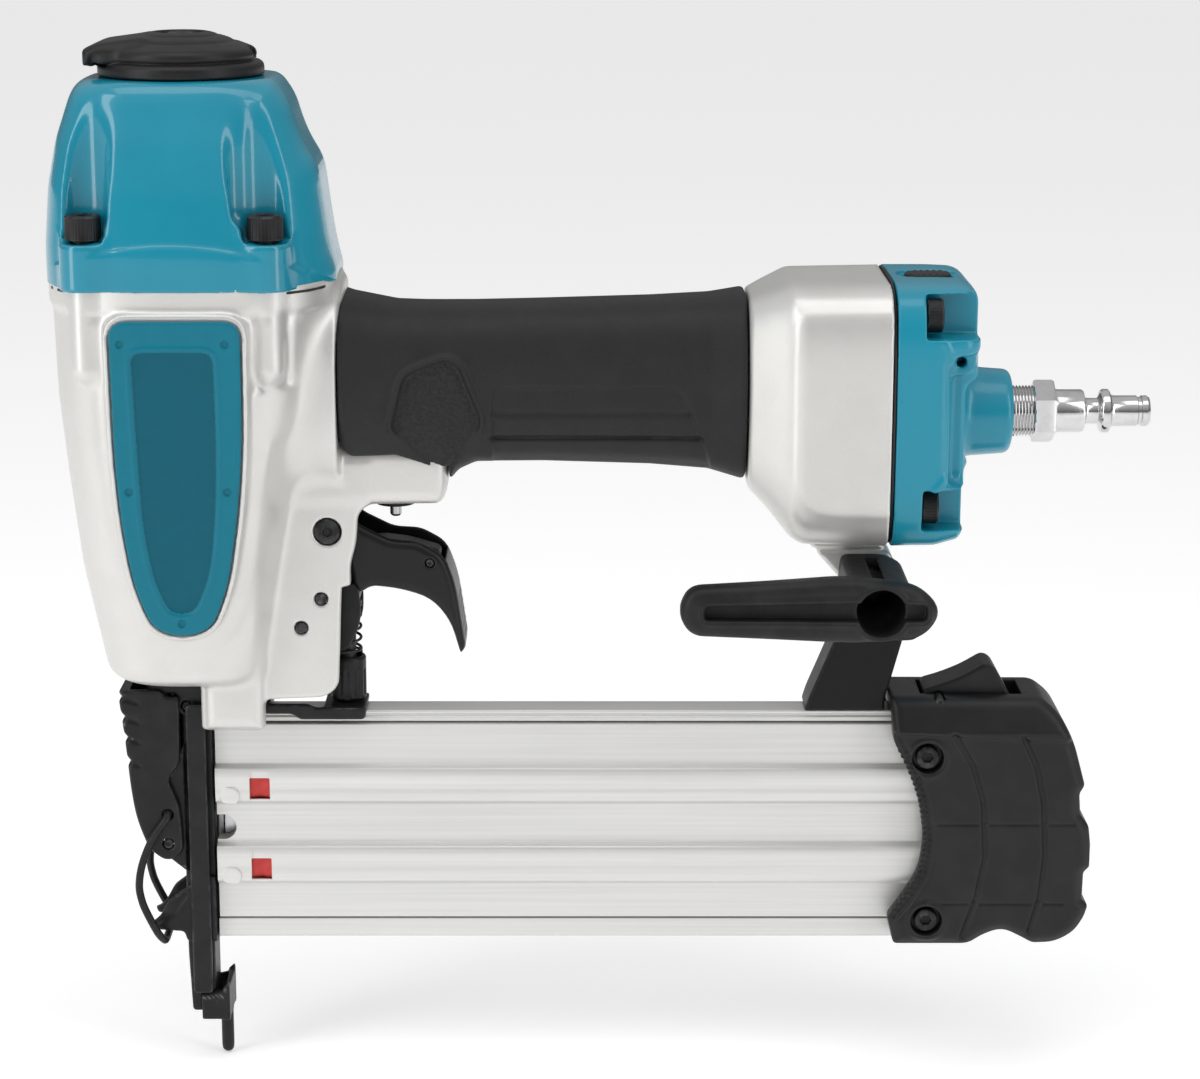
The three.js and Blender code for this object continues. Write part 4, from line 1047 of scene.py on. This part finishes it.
def trigger(x, y, z):
    outline = polygon(x, z, [
        (27, 143.6, 2), (26.8, 149, 3), (34, 150.6, 2), (38, 147, 2), (46, 143, 2), (53, 142.6, 2),
        (59.6, 139, 3), (62.6, 131, 5), (65, 114.6, 1), (63.6, 112.6, 1), (61, 121.6, 6), (56, 127.6, 5),
        (48, 130, 3), (41, 130.8, 2), (38, 128.8, 1), (36.6, 131, 1), (33, 141, 2)])
    hollow = polygon(x, z, [(20, 156), (20, 120), (37.4, 120), (39, 133, 1), (48, 132.6, 2), (56, 131, 2),
                            (60, 134, 1), (58, 156)])
    body = fillet_max(outline, np.abs(y) - 9.4, 2.4)
    body = cut(body, np.maximum(hollow, np.abs(y) - 7.2), 0.6)
    pad = step(58 - x, 1) * step(np.abs(y) - 6.6, 0.6) * step(z - 128, 1)
    body = body + 0.16 * np.cos(2 * math.pi * z / 2.4) * pad
    return cut(cut(body, disc(x, z, TRIGGER, 2.3), 0.3), disc(x, z, TRIGGER_LEVER, 1.3), 0.2)


def trigger_lever(x, y, z):
    body = fillet_max(polygon(x, z, [
        (31.6, 138.8, 0.5), (44, 138, 1), (54, 134.6, 1.5), (58.6, 135, 1.5), (58.6, 139, 1.5),
        (50, 141.5, 2), (44, 142.2, 1), (31.6, 141.4, 0.5)]), np.abs(y) - 3.2, 0.4)
    return cut(body, disc(x, z, TRIGGER_LEVER, 1.3), 0.2)


def pin(node, axis, radius, slot, shorter=0.0):
    """A plain pin with chamfered ends and a small centre dimple at each end."""
    low, high = span(node)
    i = "xyz".index(axis)
    a, b = low[i] + shorter, high[i] - shorter
    chamfer, dimple = min(0.35, radius * 0.3), 0.225
    start = [(radius * 0.35, dimple), (radius * 0.45, 0.02), (radius - chamfer, 0), (radius, chamfer)]
    rings = [(r, a + depth) for r, depth in start] + [(r, b - depth) for r, depth in reversed(start)]
    turn(node, axis, rings, slot, 40)


def make_trigger():
    carve(trigger, "trigger_plastic", 0.32)
    carve(trigger_lever, "black_steel", 0.22)
    pin("trigger_lever_pin", "y", 1, "black_steel")
    low, high = span("trigger_pin")
    turn("trigger_pin", "y", [
        (0.9, low[1] + 0.5), (1.2, low[1] + 0.1), (2.6, low[1]), (3, low[1] + 0.15), (3.2, low[1] + 0.5),
        (3.2, -10.8), (3, -10.6), (1.9, -10.5), (1.9, high[1] - 0.4), (1.5, high[1])], "black_steel", 48)
    low, high = span("trigger_valve")
    turn("trigger_valve", "z", [
        (1.9, low[2] + 0.1), (2.6, low[2]), (4.9, low[2]), (5.6, low[2] + 0.4), (5.9, low[2] + 1), (5.9, 160),
        (5.2, 160.3), (5.2, 162.2), (5.9, 162.5), (5.9, high[2] - 0.3), (5.6, high[2]), (1.9, high[2]),
        (1.9, low[2] + 0.1)], "black_plastic", 64)
    low, high = span("valve_stem")
    turn("valve_stem", "z", [
        (0.7, low[2]), (1.1, low[2] + 0.15), (1.5, low[2] + 0.7), (1.5, high[2] - 0.2), (1.3, high[2])],
        "bright_steel", 40, at=(*VALVE, 0))
    for node in ("bracket_pin_1", "bracket_pin_2"):
        low, high = span(node)
        turn(node, "y", [
            (0.6, low[1]), (1.1, low[1]), (1.4, low[1] + 0.4), (1.4, high[1] - 0.4), (1.1, high[1]),
            (0.6, high[1]), (0.6, low[1])], "black_steel", 32)


# ---------------------------------------------------------------- contact safety and springs


def contact_arm(x, y, z):
    strip = fillet_max(polygon(x, z, [
        (-7.6, 20, 1), (-2.6, 20, 1), (-2.6, 96.9, 1), (20, 96.9, 1), (22, 95.4, 1), (39, 95.4, 2),
        (39, 98.4, 1), (26, 98.4, 1), (24, 99.4, 1), (-7.6, 99.4, 1.5)]), band(y, -9.4, -7.6), 0.5)
    shelf = block(x, y, z, (28, 39), (-9.4, 5.5), (96.9, 98.4), 0.5)
    return cut(fillet_min(strip, shelf, 0.6), disc(x, y, ROD, 2.6), 0.2)


def contact_foot(x, y, z):
    wing = block(x, np.abs(y), z, (-5.9, 1.5), (5.9, 7.3), (11.7, 23.4), 0.5)
    slope = polygon(x, z, [(-8, 8), (4, 8), (4, 22.4), (1.5, 22.8), (-0.4, 20), (-5.9, 18.8), (-8, 18.8)])
    back = block(x, y, z, (0.2, 1.5), (-6.8, 6.8), (11.7, 20.8), 0.5)
    body = fillet_min(fillet_max(wing, slope, 0.9), back, 1)
    about = disc(x, y, (-0.1, 0), 0)
    leg = turned(about, z, [(0.9, 0), (1.5, 0.7, 0.4), (1.65, 2), (1.65, 16), (1.2, 16.4)])
    return fillet_min(body, leg, 0.8)


def depth_wheel(x, y, z):
    low, high = span("depth_wheel")
    about = disc(x, y, ROD, 0)
    angle = np.arctan2(y - ROD[1], x - ROD[0])
    ribs = 0.28 * (0.5 + 0.5 * np.cos(16 * angle)) * step(band(z, low[2] + 1.2, high[2] - 3.2), 0.3)
    ring = turned(about + ribs, z, [
        (4.2, low[2]), (4.7, low[2] + 0.6, 0.3), (4.7, high[2] - 0.6, 0.3), (4.2, high[2])])
    cup = fillet_max(about - 3.7, high[2] - 4 - z, 0.5)
    return cut(cut(ring, about - 2.5, 0.3), cup, 0.3)


def rod_guide(x, y, z):
    low, high = span("rod_guide")
    body = block(x, y, z, (low[0], high[0]), (low[1], high[1]), (low[2], high[2]), 0.9)
    return cut(body, disc(x, y, ROD, 2.6), 0.3)


def rod_shield(x, y, z):
    outline = polygon(x, z, [
        (31.2, 131), (37, 131, 1), (37.9, 126.4, 2), (37.8, 120.3, 2), (34.6, 113.6, 1), (31.2, 112.2)])
    return fillet_max(outline, band(np.abs(y), 5.2, 6.3), 0.4)


def coil(node, radius, wire_radius, turns, slot):
    """A compression spring with closed ends in its CAD node's box."""
    low, high = span(node)
    (cx, cy, _), count = centre(node), int(turns * 28)
    bottom, height = low[2] + wire_radius, high[2] - low[2] - 2 * wire_radius
    path = []
    for i in range(count + 1):
        t = i / count
        rise = np.interp(t, [0, 1 / turns, 1 - 1 / turns, 1],
                         [0, wire_radius * 2 / height, 1 - wire_radius * 2 / height, 1])
        angle = 2 * math.pi * turns * t
        path.append((cx + radius * math.cos(angle), cy + radius * math.sin(angle), bottom + height * rise))
    look = fit_piece(swept(node + "_look", path, wire_radius, 14), node, slot)
    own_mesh(look)


def make_contact():
    carve(contact_arm, "black_steel", 0.3)
    carve(contact_foot, "black_steel", 0.22)
    carve(depth_wheel, "black_steel", 0.22)
    carve(rod_guide, "black_steel", 0.22)
    low, high = span("safety_rod")
    turn("safety_rod", "z", [
        (1.8, low[2]), (2.2, low[2] + 0.4), (2.2, high[2] - 1.4), (1.5, high[2] - 0.1), (1.2, high[2])],
        "black_steel", 48)
    added_piece("rod_shield", rod_shield, (30.5, -7, 111.5), (38.5, 7, 132), 0.25, "rod_guide", "black_steel")
    coil("safety_spring", 3.5, 0.38, 6, "black_steel")
    coil("head_valve_spring", 13, 0.8, 5, "bright_steel")


# ---------------------------------------------------------------- nose

NOSE_SPLIT = -5.45


def driver_guide(x, y, z):
    width = np.abs(y)
    body = block(x, y, z, (NOSE_SPLIT + 0.15, -1.2), (-5.4, 5.4), (13.4, 103), 0.7)
    plate = polygon(x, y, [(-18, -7, 3), (12, -7, 1), (12, 7, 1), (-18, 7, 3)])
    flange = fillet_max(plate, band(z, 101.7, 105.7), 0.6)
    seat = block(x, y, z, (-3, 14), (-4.4, 4.4), (96.8, 103), 0.5)
    hinge = polygon(x, z, [(-10, 103), (-10, 96.2, 2), (-1.4, 94, 1), (-1.4, 103)])
    hinge = fillet_max(hinge, width - 7, 0.7)
    ears = fillet_max(polygon(x, z, [
        (-1.4, 51.6), (-5.2, 51.6, 0.5), (-13.8, 45, 1), (-16.2, 40.6, 2), (-19.2, 38.6, 0.6),
        (-18.4, 36.9, 0.6), (-10, 36.3, 1), (-9.2, 33.5, 1), (-1.4, 33.5)]), width - 7, 0.8)
    crease = line(x, z, [(-9.4, 46.5), (-12.6, 42), (-17.6, 38.6)])
    ears = ears + 0.6 * bump(crease, 0.8) * step(6 - width, 0.5)
    metal = fillet_min(body, flange, 1)
    for part in (seat, hinge, ears):
        metal = fillet_min(metal, part, 0.7)
    holes = [
        block(x, y, z, (-30, NOSE_SPLIT + 0.15), (-5.75, 5.75), (5, 101.4), 0.3),
        block(x, y, z, (-8, DRIVER[0] + 0.9), (-1.35, 1.35), (5, 120), 0.2),
        block(x, y, z, (-8, 0), (-0.9, 0.9), (36, 91), 0.2),
        block(x, y, z, (-2.2, 5), (-10, 10), (5, 33), 0.3),
        disc(x, z, DOOR, 1.5),
    ]
    holes += [disc(x, y, centre(f"nose_bolt_{i}")[:2], 2) for i in (1, 2)]
    for hole in holes:
        metal = cut(metal, hole, 0.3)
    return metal


def nose_door(x, y, z):
    face = NOSE_SPLIT - 0.15
    width = np.abs(y)
    panel = polygon(x, z, [(face, 13.4, 0.5), (face, 98), (-9.3, 98), (-9.3, 30, 2), (-8.6, 13.4, 1)])
    panel = fillet_max(panel, width - 5.4, 0.9)
    knuckle = np.maximum(disc(x, z, DOOR, 1.85), width - 5.4)
    lugs = polygon(x, z, [(-8.6, 53), (-13.2, 56.8, 2), (-16.1, 59, 2.5), (-16.1, 64, 2.5), (-13.8, 68, 2),
                          (-13.6, 79, 2), (-8.6, 88)])
    lugs = fillet_max(lugs, band(width, 4.6, 6.9), 0.6)
    channel = fillet_max(band(width, 0, 2.6), np.maximum(x + 8.6, band(z, 20, 90)), 0.8)
    body = cut(fillet_min(panel, knuckle, 0.8), channel, 0.5)
    body = fillet_min(body, lugs, 0.7)
    return cut(cut(body, disc(x, z, DOOR, 1.5), 0.2), disc(x, z, LATCH, 1.6), 0.2)


def latch_lever(x, y, z):
    width = np.abs(y)
    outline = polygon(x, z, [
        (-24.9, 103, 1.5), (-14.2, 102.8, 1), (-12.6, 101.2), (-9.2, 101, 1), (-9.6, 83.4, 2), (-13, 79, 2),
        (-10.2, 72, 2), (-9.6, 66, 2), (-9.4, 59, 2.5), (-13.4, 56.4, 3), (-18, 59.6, 3), (-21.1, 68, 5),
        (-22.3, 76.2, 5), (-23.4, 90, 5)], 6)
    inside = polygon(x, z, [(-22.6, 110), (0, 110), (0, 40), (-30, 40), (-30, 64), (-19.6, 64, 2),
                            (-20, 76, 3), (-21.2, 90, 3)])
    body = fillet_max(outline, width - 8.8, 1.6)
    ribs = sum(bump(z - height + 0.35 * (x + 22), 0.9) for height in (100.4, 95.2, 89.8, 83.6))
    body = body + 0.7 * ribs * step(x + 19.5, 0.8) - 0.25
    mark = line(x, z, [(-16.5, 101), (-16.5, 97), (-20.5, 95.8)])
    body = body + 0.35 * bump(mark, 0.45) * step(8 - width, 0.3)
    body = cut(body, np.maximum(inside, width - 7.3), 0.6)
    body = cut(body, disc(x, z, LATCH, 1.6), 0.3)
    return cut(body, disc(x, z, (-13, 69.5), 1.35), 0.3)


def make_nose():
    carve(driver_guide, "black_steel", 0.35)
    carve(nose_door, "black_steel", 0.32)
    carve(latch_lever, "black_steel", 0.33)
    pin("door_pin", "y", 1.2, "black_steel")
    pin("latch_lever_pin", "y", 1.3, "black_steel")
    side = 10.3
    leg = [(-13, 7.7, 69.5), (-13, 9.0, 69.5), (-13.5, side - 0.2, 68.4), (-15, side, 66.4),
           (-17.6, side, 62.2), (-20, side, 56), (-20.9, side, 50.5), (-20.4, side, 46.5), (-19.2, side, 43),
           (-16.6, side, 37.6), (-15.2, side - 1.1, 35.2), (-14.8, side - 3.2, 34.4)]
    far = [(x, -y, z) for x, y, z in reversed(leg)]
    bail = swept("wire_bail_look", smooth_path([*leg, (-14.8, 0, 34.4), *far]), 1.0, 24)
    fit_piece(bail, "wire_bail", "black_steel")


# ---------------------------------------------------------------- magazine

BULGES = ((49.5, 60.9), (71.5, 82.3))
WINDOWS = (51.2, 73.2)


def ribbed_wall(flat, ridge):
    """The magazine's side wall in Y and Z, from the top down, with its two rounded ribs."""
    wall = []
    bend, dip = ridge - 0.35 * np.sign(ridge), ridge - 0.2 * np.sign(ridge)
    for low, high in reversed(BULGES):
        wall += [(flat, high, 0.3), (bend, high - 0.7, 0.5), (ridge, high - 3, 2), (dip, high - 5.6, 2),
                 (ridge, low + 3, 2), (bend, low + 1.1, 0.8), (flat, low, 0.6)]
    return wall


def box_piece(name, xs, ys, zs):
    bm = bmesh.new()
    bmesh.ops.create_cube(bm, size=1)
    for v in bm.verts:
        v.co = Vector([np.interp(c, (-0.5, 0.5), ends) for c, ends in zip(v.co, (xs, ys, zs))]) * MM
    return from_bmesh(name, bm)


def make_rail():
    low, high = span("magazine_rail")
    top, bottom = high[2], low[2]
    rail = along_x("magazine_rail_look", [
        (-4.4, top, 0.8), (-4.4, 95.6, 0.2), (-4.0, 95.3, 0.2), (-4.0, 95.0, 0.2), (-4.4, 94.7, 0.2),
        (-4.4, 93.5, 0.2), (0.9, 93.5), (0.9, 39.6), (-5.5, 39.6, 0.3), (-5.5, bottom, 0.7),
        (5.5, bottom, 0.7), *reversed(ribbed_wall(5.5, 8)), (5.5, 93.5, 0.3), (4.4, 94, 0.3),
        (4.4, top, 0.8)], low[0], high[0])
    fit_piece(rail, "magazine_rail", "aluminium")


def make_cover():
    low, high = span("magazine_cover")
    channels = []
    for foot, head in BULGES:
        channels += [(-0.9, foot + 0.8), (-6.6, foot + 1.2, 0.5), (-6.6, head - 2, 0.5), (-0.9, head - 2)]
    cover = along_x("magazine_cover_look", [
        (-0.9, high[2]), (-5.5, high[2], 0.3), *ribbed_wall(-5.5, -8), (-5.5, low[2], 0.3), (-0.9, low[2]),
        *channels], low[0], high[0])
    notch = spun("notch", "y", [(3.4, -10), (3.4, 0.2)], (1, 0, 65), 48)
    mouth = box_piece("mouth", (-3, 0.9), (-10, 0.2), (61.62, 68.38))
    windows = [box_piece("window", (8.3, 13.6), (-12, -4), (z, z + 5.8)) for z in WINDOWS]
    reliefs = [box_piece("relief", (8.5, 13.4), (-12, -7.5), (z - 1.4, z + 7.6)) for z in WINDOWS]
    subtract(cover, notch, mouth, *windows, *reliefs)
    fit_piece(cover, "magazine_cover", "aluminium")


def cover_tab(z):
    """A tab pressed out of the cover's ribs, at a height."""
    def field(x, y, up):
        arch = fillet_max(disc(x, up, (3, z - 0.4), 2.7), band(up, z - 2.6, z + 2.2), 0.6)
        rise = -8.0 - 0.55 * np.clip((x - 0.8) / 5, 0, 1)
        return fillet_max(arch, fillet_max(rise - y, y + 7.4, 0.3), 0.5)

    return field


def pusher(x, y, z):
    body = block(x, y, z, (0.4, 34), (-0.55, 0.55), (41, 92), 0.3)
    for low, high in BULGES:
        runner = block(x, y, z, (6, 32), (-6.2, 0), (low + 1.6, high - 2.4), 0.6)
        runner = runner + 0.25 * bump((x - 11) / 1.2, 1) * step(y + 5.4, 0.3)
        body = fillet_min(body, runner, 0.4)
    return body


def make_magazine():
    make_rail()
    make_cover()
    for number, z in enumerate((52.6, 74.6), 1):
        added_piece(f"cover_tab_{number}", cover_tab(z), (0.6, -8.7, z - 3.4), (6.6, -7.2, z + 2.6), 0.16,
                    "magazine_cover", "aluminium")
    look = carve(pusher, "red_plastic", 0.35)
    second_material(look, MATERIALS["bright_steel"], lambda x, y, z: (y > -0.7) & (x < 5.6))


def rear_cap(x, y, z):
    width = np.abs(y)
    low, high = span("rear_cap")
    front = [(174.2, high[2], 1), (175.1, 90.5, 2), (179, 83.3, 6), (182.3, 74.5, 6), (183.8, 63.4, 8),
             (182.5, 54.6, 6), (178.5, 48.1, 5), (174.6, 42.4, 1), (176.3, low[2], 1)]
    body = polygon(x, z, [*front, (196, 35.2, 2), (199.4, 37.6, 2), (204.6, 39.6, 3), (209.8, 37, 2),
                          (212.6, 35.4, 1), (218.6, 35.6, 3), (223.6, 38.6, 3), (226, 42.7, 1),
                          (226.9, 45.8, 0.7), (225.3, 47.5, 0.7), (225.4, 54.9, 0.7), (227, 56.5, 0.7),
                          (227.1, 61, 3), (226.3, 67.6, 1), (224, 70.8, 1), (223.6, 76.4, 0.8),
                          (224.9, 78.6, 0.8), (221.6, 90.6, 4), (218, 97.4, 3), (213, 101.6, 2)], 5)
    shell = fillet_max(body, width - 15 + 0.5 * np.maximum(z - 93.5, 0), 3)
    side = step(10.5 - width, 0.8)
    top_band = 93.2 - 0.05 * (x - 174) - z
    shell = shell + 0.7 * step(-top_band, 0.35) * step(13 - width, 0.5)
    first = [(190.8, 92.6), (195.7, 84.1), (198.6, 74.5), (199.5, 59.4), (197.5, 48.1), (194, 37.5)]
    second = [(208.4, 92), (212.1, 84.1), (214.2, 74.5), (215.1, 59.4), (214, 48.1), (211.6, 39)]
    for groove in (first, second):
        shell = shell + 0.9 * bump(line(x, z, groove), 0.75) * side
    for ledge in ([(187, 68.6), (222, 68.6)], [(184.9, 46.9), (220, 46.9)]):
        shell = shell + 0.28 * bump(line(x, z, ledge), 0.35) * side
    inner = [(176.6, 92), (180.6, 84), (184, 75), (185.6, 63.4), (184.2, 54), (180, 47), (176.4, 42.6)]
    shell = shell + 0.45 * bump(line(x, z, inner), 0.45) * side
    teeth = 0.35 * np.cos(2 * math.pi * z / 1.5) * step(line(x, z, [p[:2] for p in front]) - 1.2, 0.4)
    shell = shell + teeth * step(band(z, 44, 88), 1) * side
    holes = [
        block(x, y, z, (165, 188.6), (-8.5, 8.5), (20, 97), 0.4),
        block(x, y, z, (182.4, 208.4), (-6.4, 6.4), (97.4, 120), 0.4),
        block(x, y, z, (189.4, 208.4), (-6.4, 6.4), (90, 120), 0.4),
        block(x, y, z, (192, 221), (-11, 11), (44, 86), 2),
        block(x, y, z, (205, 216), (-8, 8), (30, 50), 1),
        np.maximum(disc(x, z, MAGAZINE_LATCH, 1.4), width - 10.2),
    ]
    for spot in SCREW_SPOTS:
        holes.append(np.maximum(disc(x, z, spot, 4), y + 11.2))
        holes.append(np.maximum(disc(x, z, spot, 1.9), y))
        shell = shell - 0.35 * bump(disc(x, z, spot, 4.9), 0.6) * step(y + 13.5, 0.5)
    for hole in holes:
        shell = cut(shell, hole, 0.4)
    return shell


def magazine_latch(x, y, z):
    body = fillet_max(polygon(x, z, [
        (183.2, 98, 1), (183.2, 102.6, 1.5), (188, 104, 3), (193.5, 106.2, 4), (199.2, 109.6, 1.2),
        (201.4, 108.6, 1.5), (206.4, 99.6, 1), (206, 98, 1), (192, 97.8)], 6), np.abs(y) - 6, 0.9)
    body = body - 0.3 * bump(body + 1.1, 0.4) * step(5.4 - np.abs(y), 0.2)
    return cut(body, disc(x, z, MAGAZINE_LATCH, 1.4), 0.3)


def make_rear_cap():
    carve(rear_cap, "black_plastic", 0.4)
    carve(magazine_latch, "black_plastic", 0.25)
    pin("magazine_latch_pin", "y", 1.1, "black_steel", shorter=2.6)


# ---------------------------------------------------------------- screws

def socket_screw(node, axis, away, head, height, shank, key):
    """A socket-head screw in its CAD node's place, by its head's radius and height, and its shank's and
    key's radius. away is 1 when its head points along the axis and -1 when not."""
    low, high = span(node)
    i = "xyz".index(axis)
    tip, top = (low[i], high[i]) if away > 0 else (high[i], low[i])
    seat = top - away * height

    def at(distance):
        return top - away * distance

    rings = [
        (shank * 0.6, tip), (shank, tip + away * 0.6), (shank, seat - away * 0.2), (head - 0.35, seat),
        (head, seat + away * 0.35), (knurled(head), seat + away * 0.6), (knurled(head), at(0.75)),
        (head, at(0.6)), (head, at(0.5)), (head - 0.25, at(0.12)), (head - 0.6, top),
        (hexagon(2 * key + 0.5), top), (hexagon(2 * key), at(0.3)), (hexagon(2 * key), at(height * 0.55)),
        (key * 0.4, at(height * 0.62))]
    if away < 0:
        rings = rings[::-1]
    turn(node, axis, rings, "black_steel", 144, 30)


def make_screws():
    for i in (1, 2, 3, 4):
        socket_screw(f"cap_bolt_{i}", "z", 1, 4.4, 6.2, 2.5, 2)
        socket_screw(f"end_cap_bolt_{i}", "x", 1, 4.2, 4.2, 2.5, 2)
    socket_screw("exhaust_screw", "z", 1, 3.4, 2.4, 2, 1.5)
    for i in (1, 2):
        socket_screw(f"rear_cap_screw_{i}", "y", -1, 3, 2.2, 1.6, 1.2)
        socket_screw(f"nose_bolt_{i}", "z", -1, 2.6, 3, 1.7, 1.2)
    socket_screw("hook_screw", "y", -1, 4.2, 3.6, 2, 1.8)


# ---------------------------------------------------------------- inner pieces that keep their CAD shape

INNER = {
    "cylinder_sleeve": "aluminium", "piston": "aluminium", "driver_blade": "bright_steel",
    "bumper": "bumper_rubber", "head_valve": "black_plastic", "cap_gasket": "gasket", "end_gasket": "gasket",
}


# ---------------------------------------------------------------- stage

FLOOR_GAP = 0.0004


def make_stage():
    """A pale floor, and a world that is white to the camera and dimmer to the tool."""
    floor = new_object("floor", bpy.data.meshes.new("floor"))
    bm = bmesh.new()
    bmesh.ops.create_grid(bm, x_segments=2, y_segments=2, size=6)
    bm.to_mesh(floor.data)
    bm.free()
    floor.location.z = CAD_BOX[0].z - FLOOR_GAP
    pale = Surface("floor_paint", (0.9, 0.9, 0.9), 0.7)
    pale.vary_roughness(pale.noise(300), 0.65, 0.8)
    floor.data.materials.append(pale.material)
    pale.set("Emission Color", (1, 1, 1, 1))
    pale.set("Emission Strength", 0.35)

    world = bpy.data.worlds.new("studio")
    bpy.context.scene.world = world
    world.use_nodes = True
    nodes, links = world.node_tree.nodes, world.node_tree.links
    nodes["Background"].inputs["Color"].default_value = (1, 1, 1, 1)
    split = nodes.new("ShaderNodeSeparateXYZ")
    links.new(nodes.new("ShaderNodeTexCoord").outputs["Generated"], split.inputs["Vector"])
    rise = nodes.new("ShaderNodeMapRange")
    links.new(split.outputs["Z"], rise.inputs["Value"])
    rise.inputs["From Min"].default_value, rise.inputs["From Max"].default_value = 0.05, 0.75
    rise.inputs["To Min"].default_value, rise.inputs["To Max"].default_value = 0.12, 0.62
    seen = nodes.new("ShaderNodeMath")
    seen.operation = "MAXIMUM"
    links.new(rise.outputs["Result"], seen.inputs[0])
    links.new(nodes.new("ShaderNodeLightPath").outputs["Is Camera Ray"], seen.inputs[1])
    links.new(seen.outputs["Value"], nodes["Background"].inputs["Strength"])


def make_light(name, at, aim, size, power):
    """A softbox at a place, turned towards another."""
    light = bpy.data.lights.new(name, "AREA")
    light.shape, light.size, light.size_y, light.energy = "RECTANGLE", size[0], size[1], power
    obj = bpy.data.objects.new(name, light)
    obj.location = at
    obj.rotation_mode = "QUATERNION"
    obj.rotation_quaternion = (Vector(aim) - Vector(at)).to_track_quat("-Z", "Y")
    bpy.context.scene.collection.objects.link(obj)


def make_camera():
    """Looks at the photographed side from a little above the tool, tilted down."""
    camera = bpy.data.cameras.new("camera")
    camera.lens, camera.sensor_width = 90, 36
    camera.shift_x = 0.0167
    camera.clip_start, camera.clip_end = 0.05, 30
    obj = bpy.data.objects.new("camera", camera)
    obj.location = (0.0943, -0.7513, 0.3228)
    obj.rotation_euler = (math.radians(76.4), 0, 0)
    bpy.context.scene.collection.objects.link(obj)
    bpy.context.scene.camera = obj


# ---------------------------------------------------------------- the tool

make_stage()
make_light("softbox_left", (-0.8, -0.6, 0.45), (0.05, 0, 0.13), (0.34, 1.3), 5.2)
make_light("softbox_right", (1.05, -0.65, 0.5), (0.12, 0, 0.13), (0.34, 1.3), 4.2)
make_light("top_light", (0.1, -0.25, 1.1), (0.1, 0, 0.1), (1.1, 0.5), 2.8)
make_camera()
bpy.context.scene.view_settings.view_transform = "Standard"

make_housing()
make_grip()
make_top()
make_rear()
make_trigger()
make_contact()
make_nose()
make_magazine()
make_rear_cap()
make_screws()
for inner_node, inner_slot in INNER.items():
    keep_node(inner_node, inner_slot)
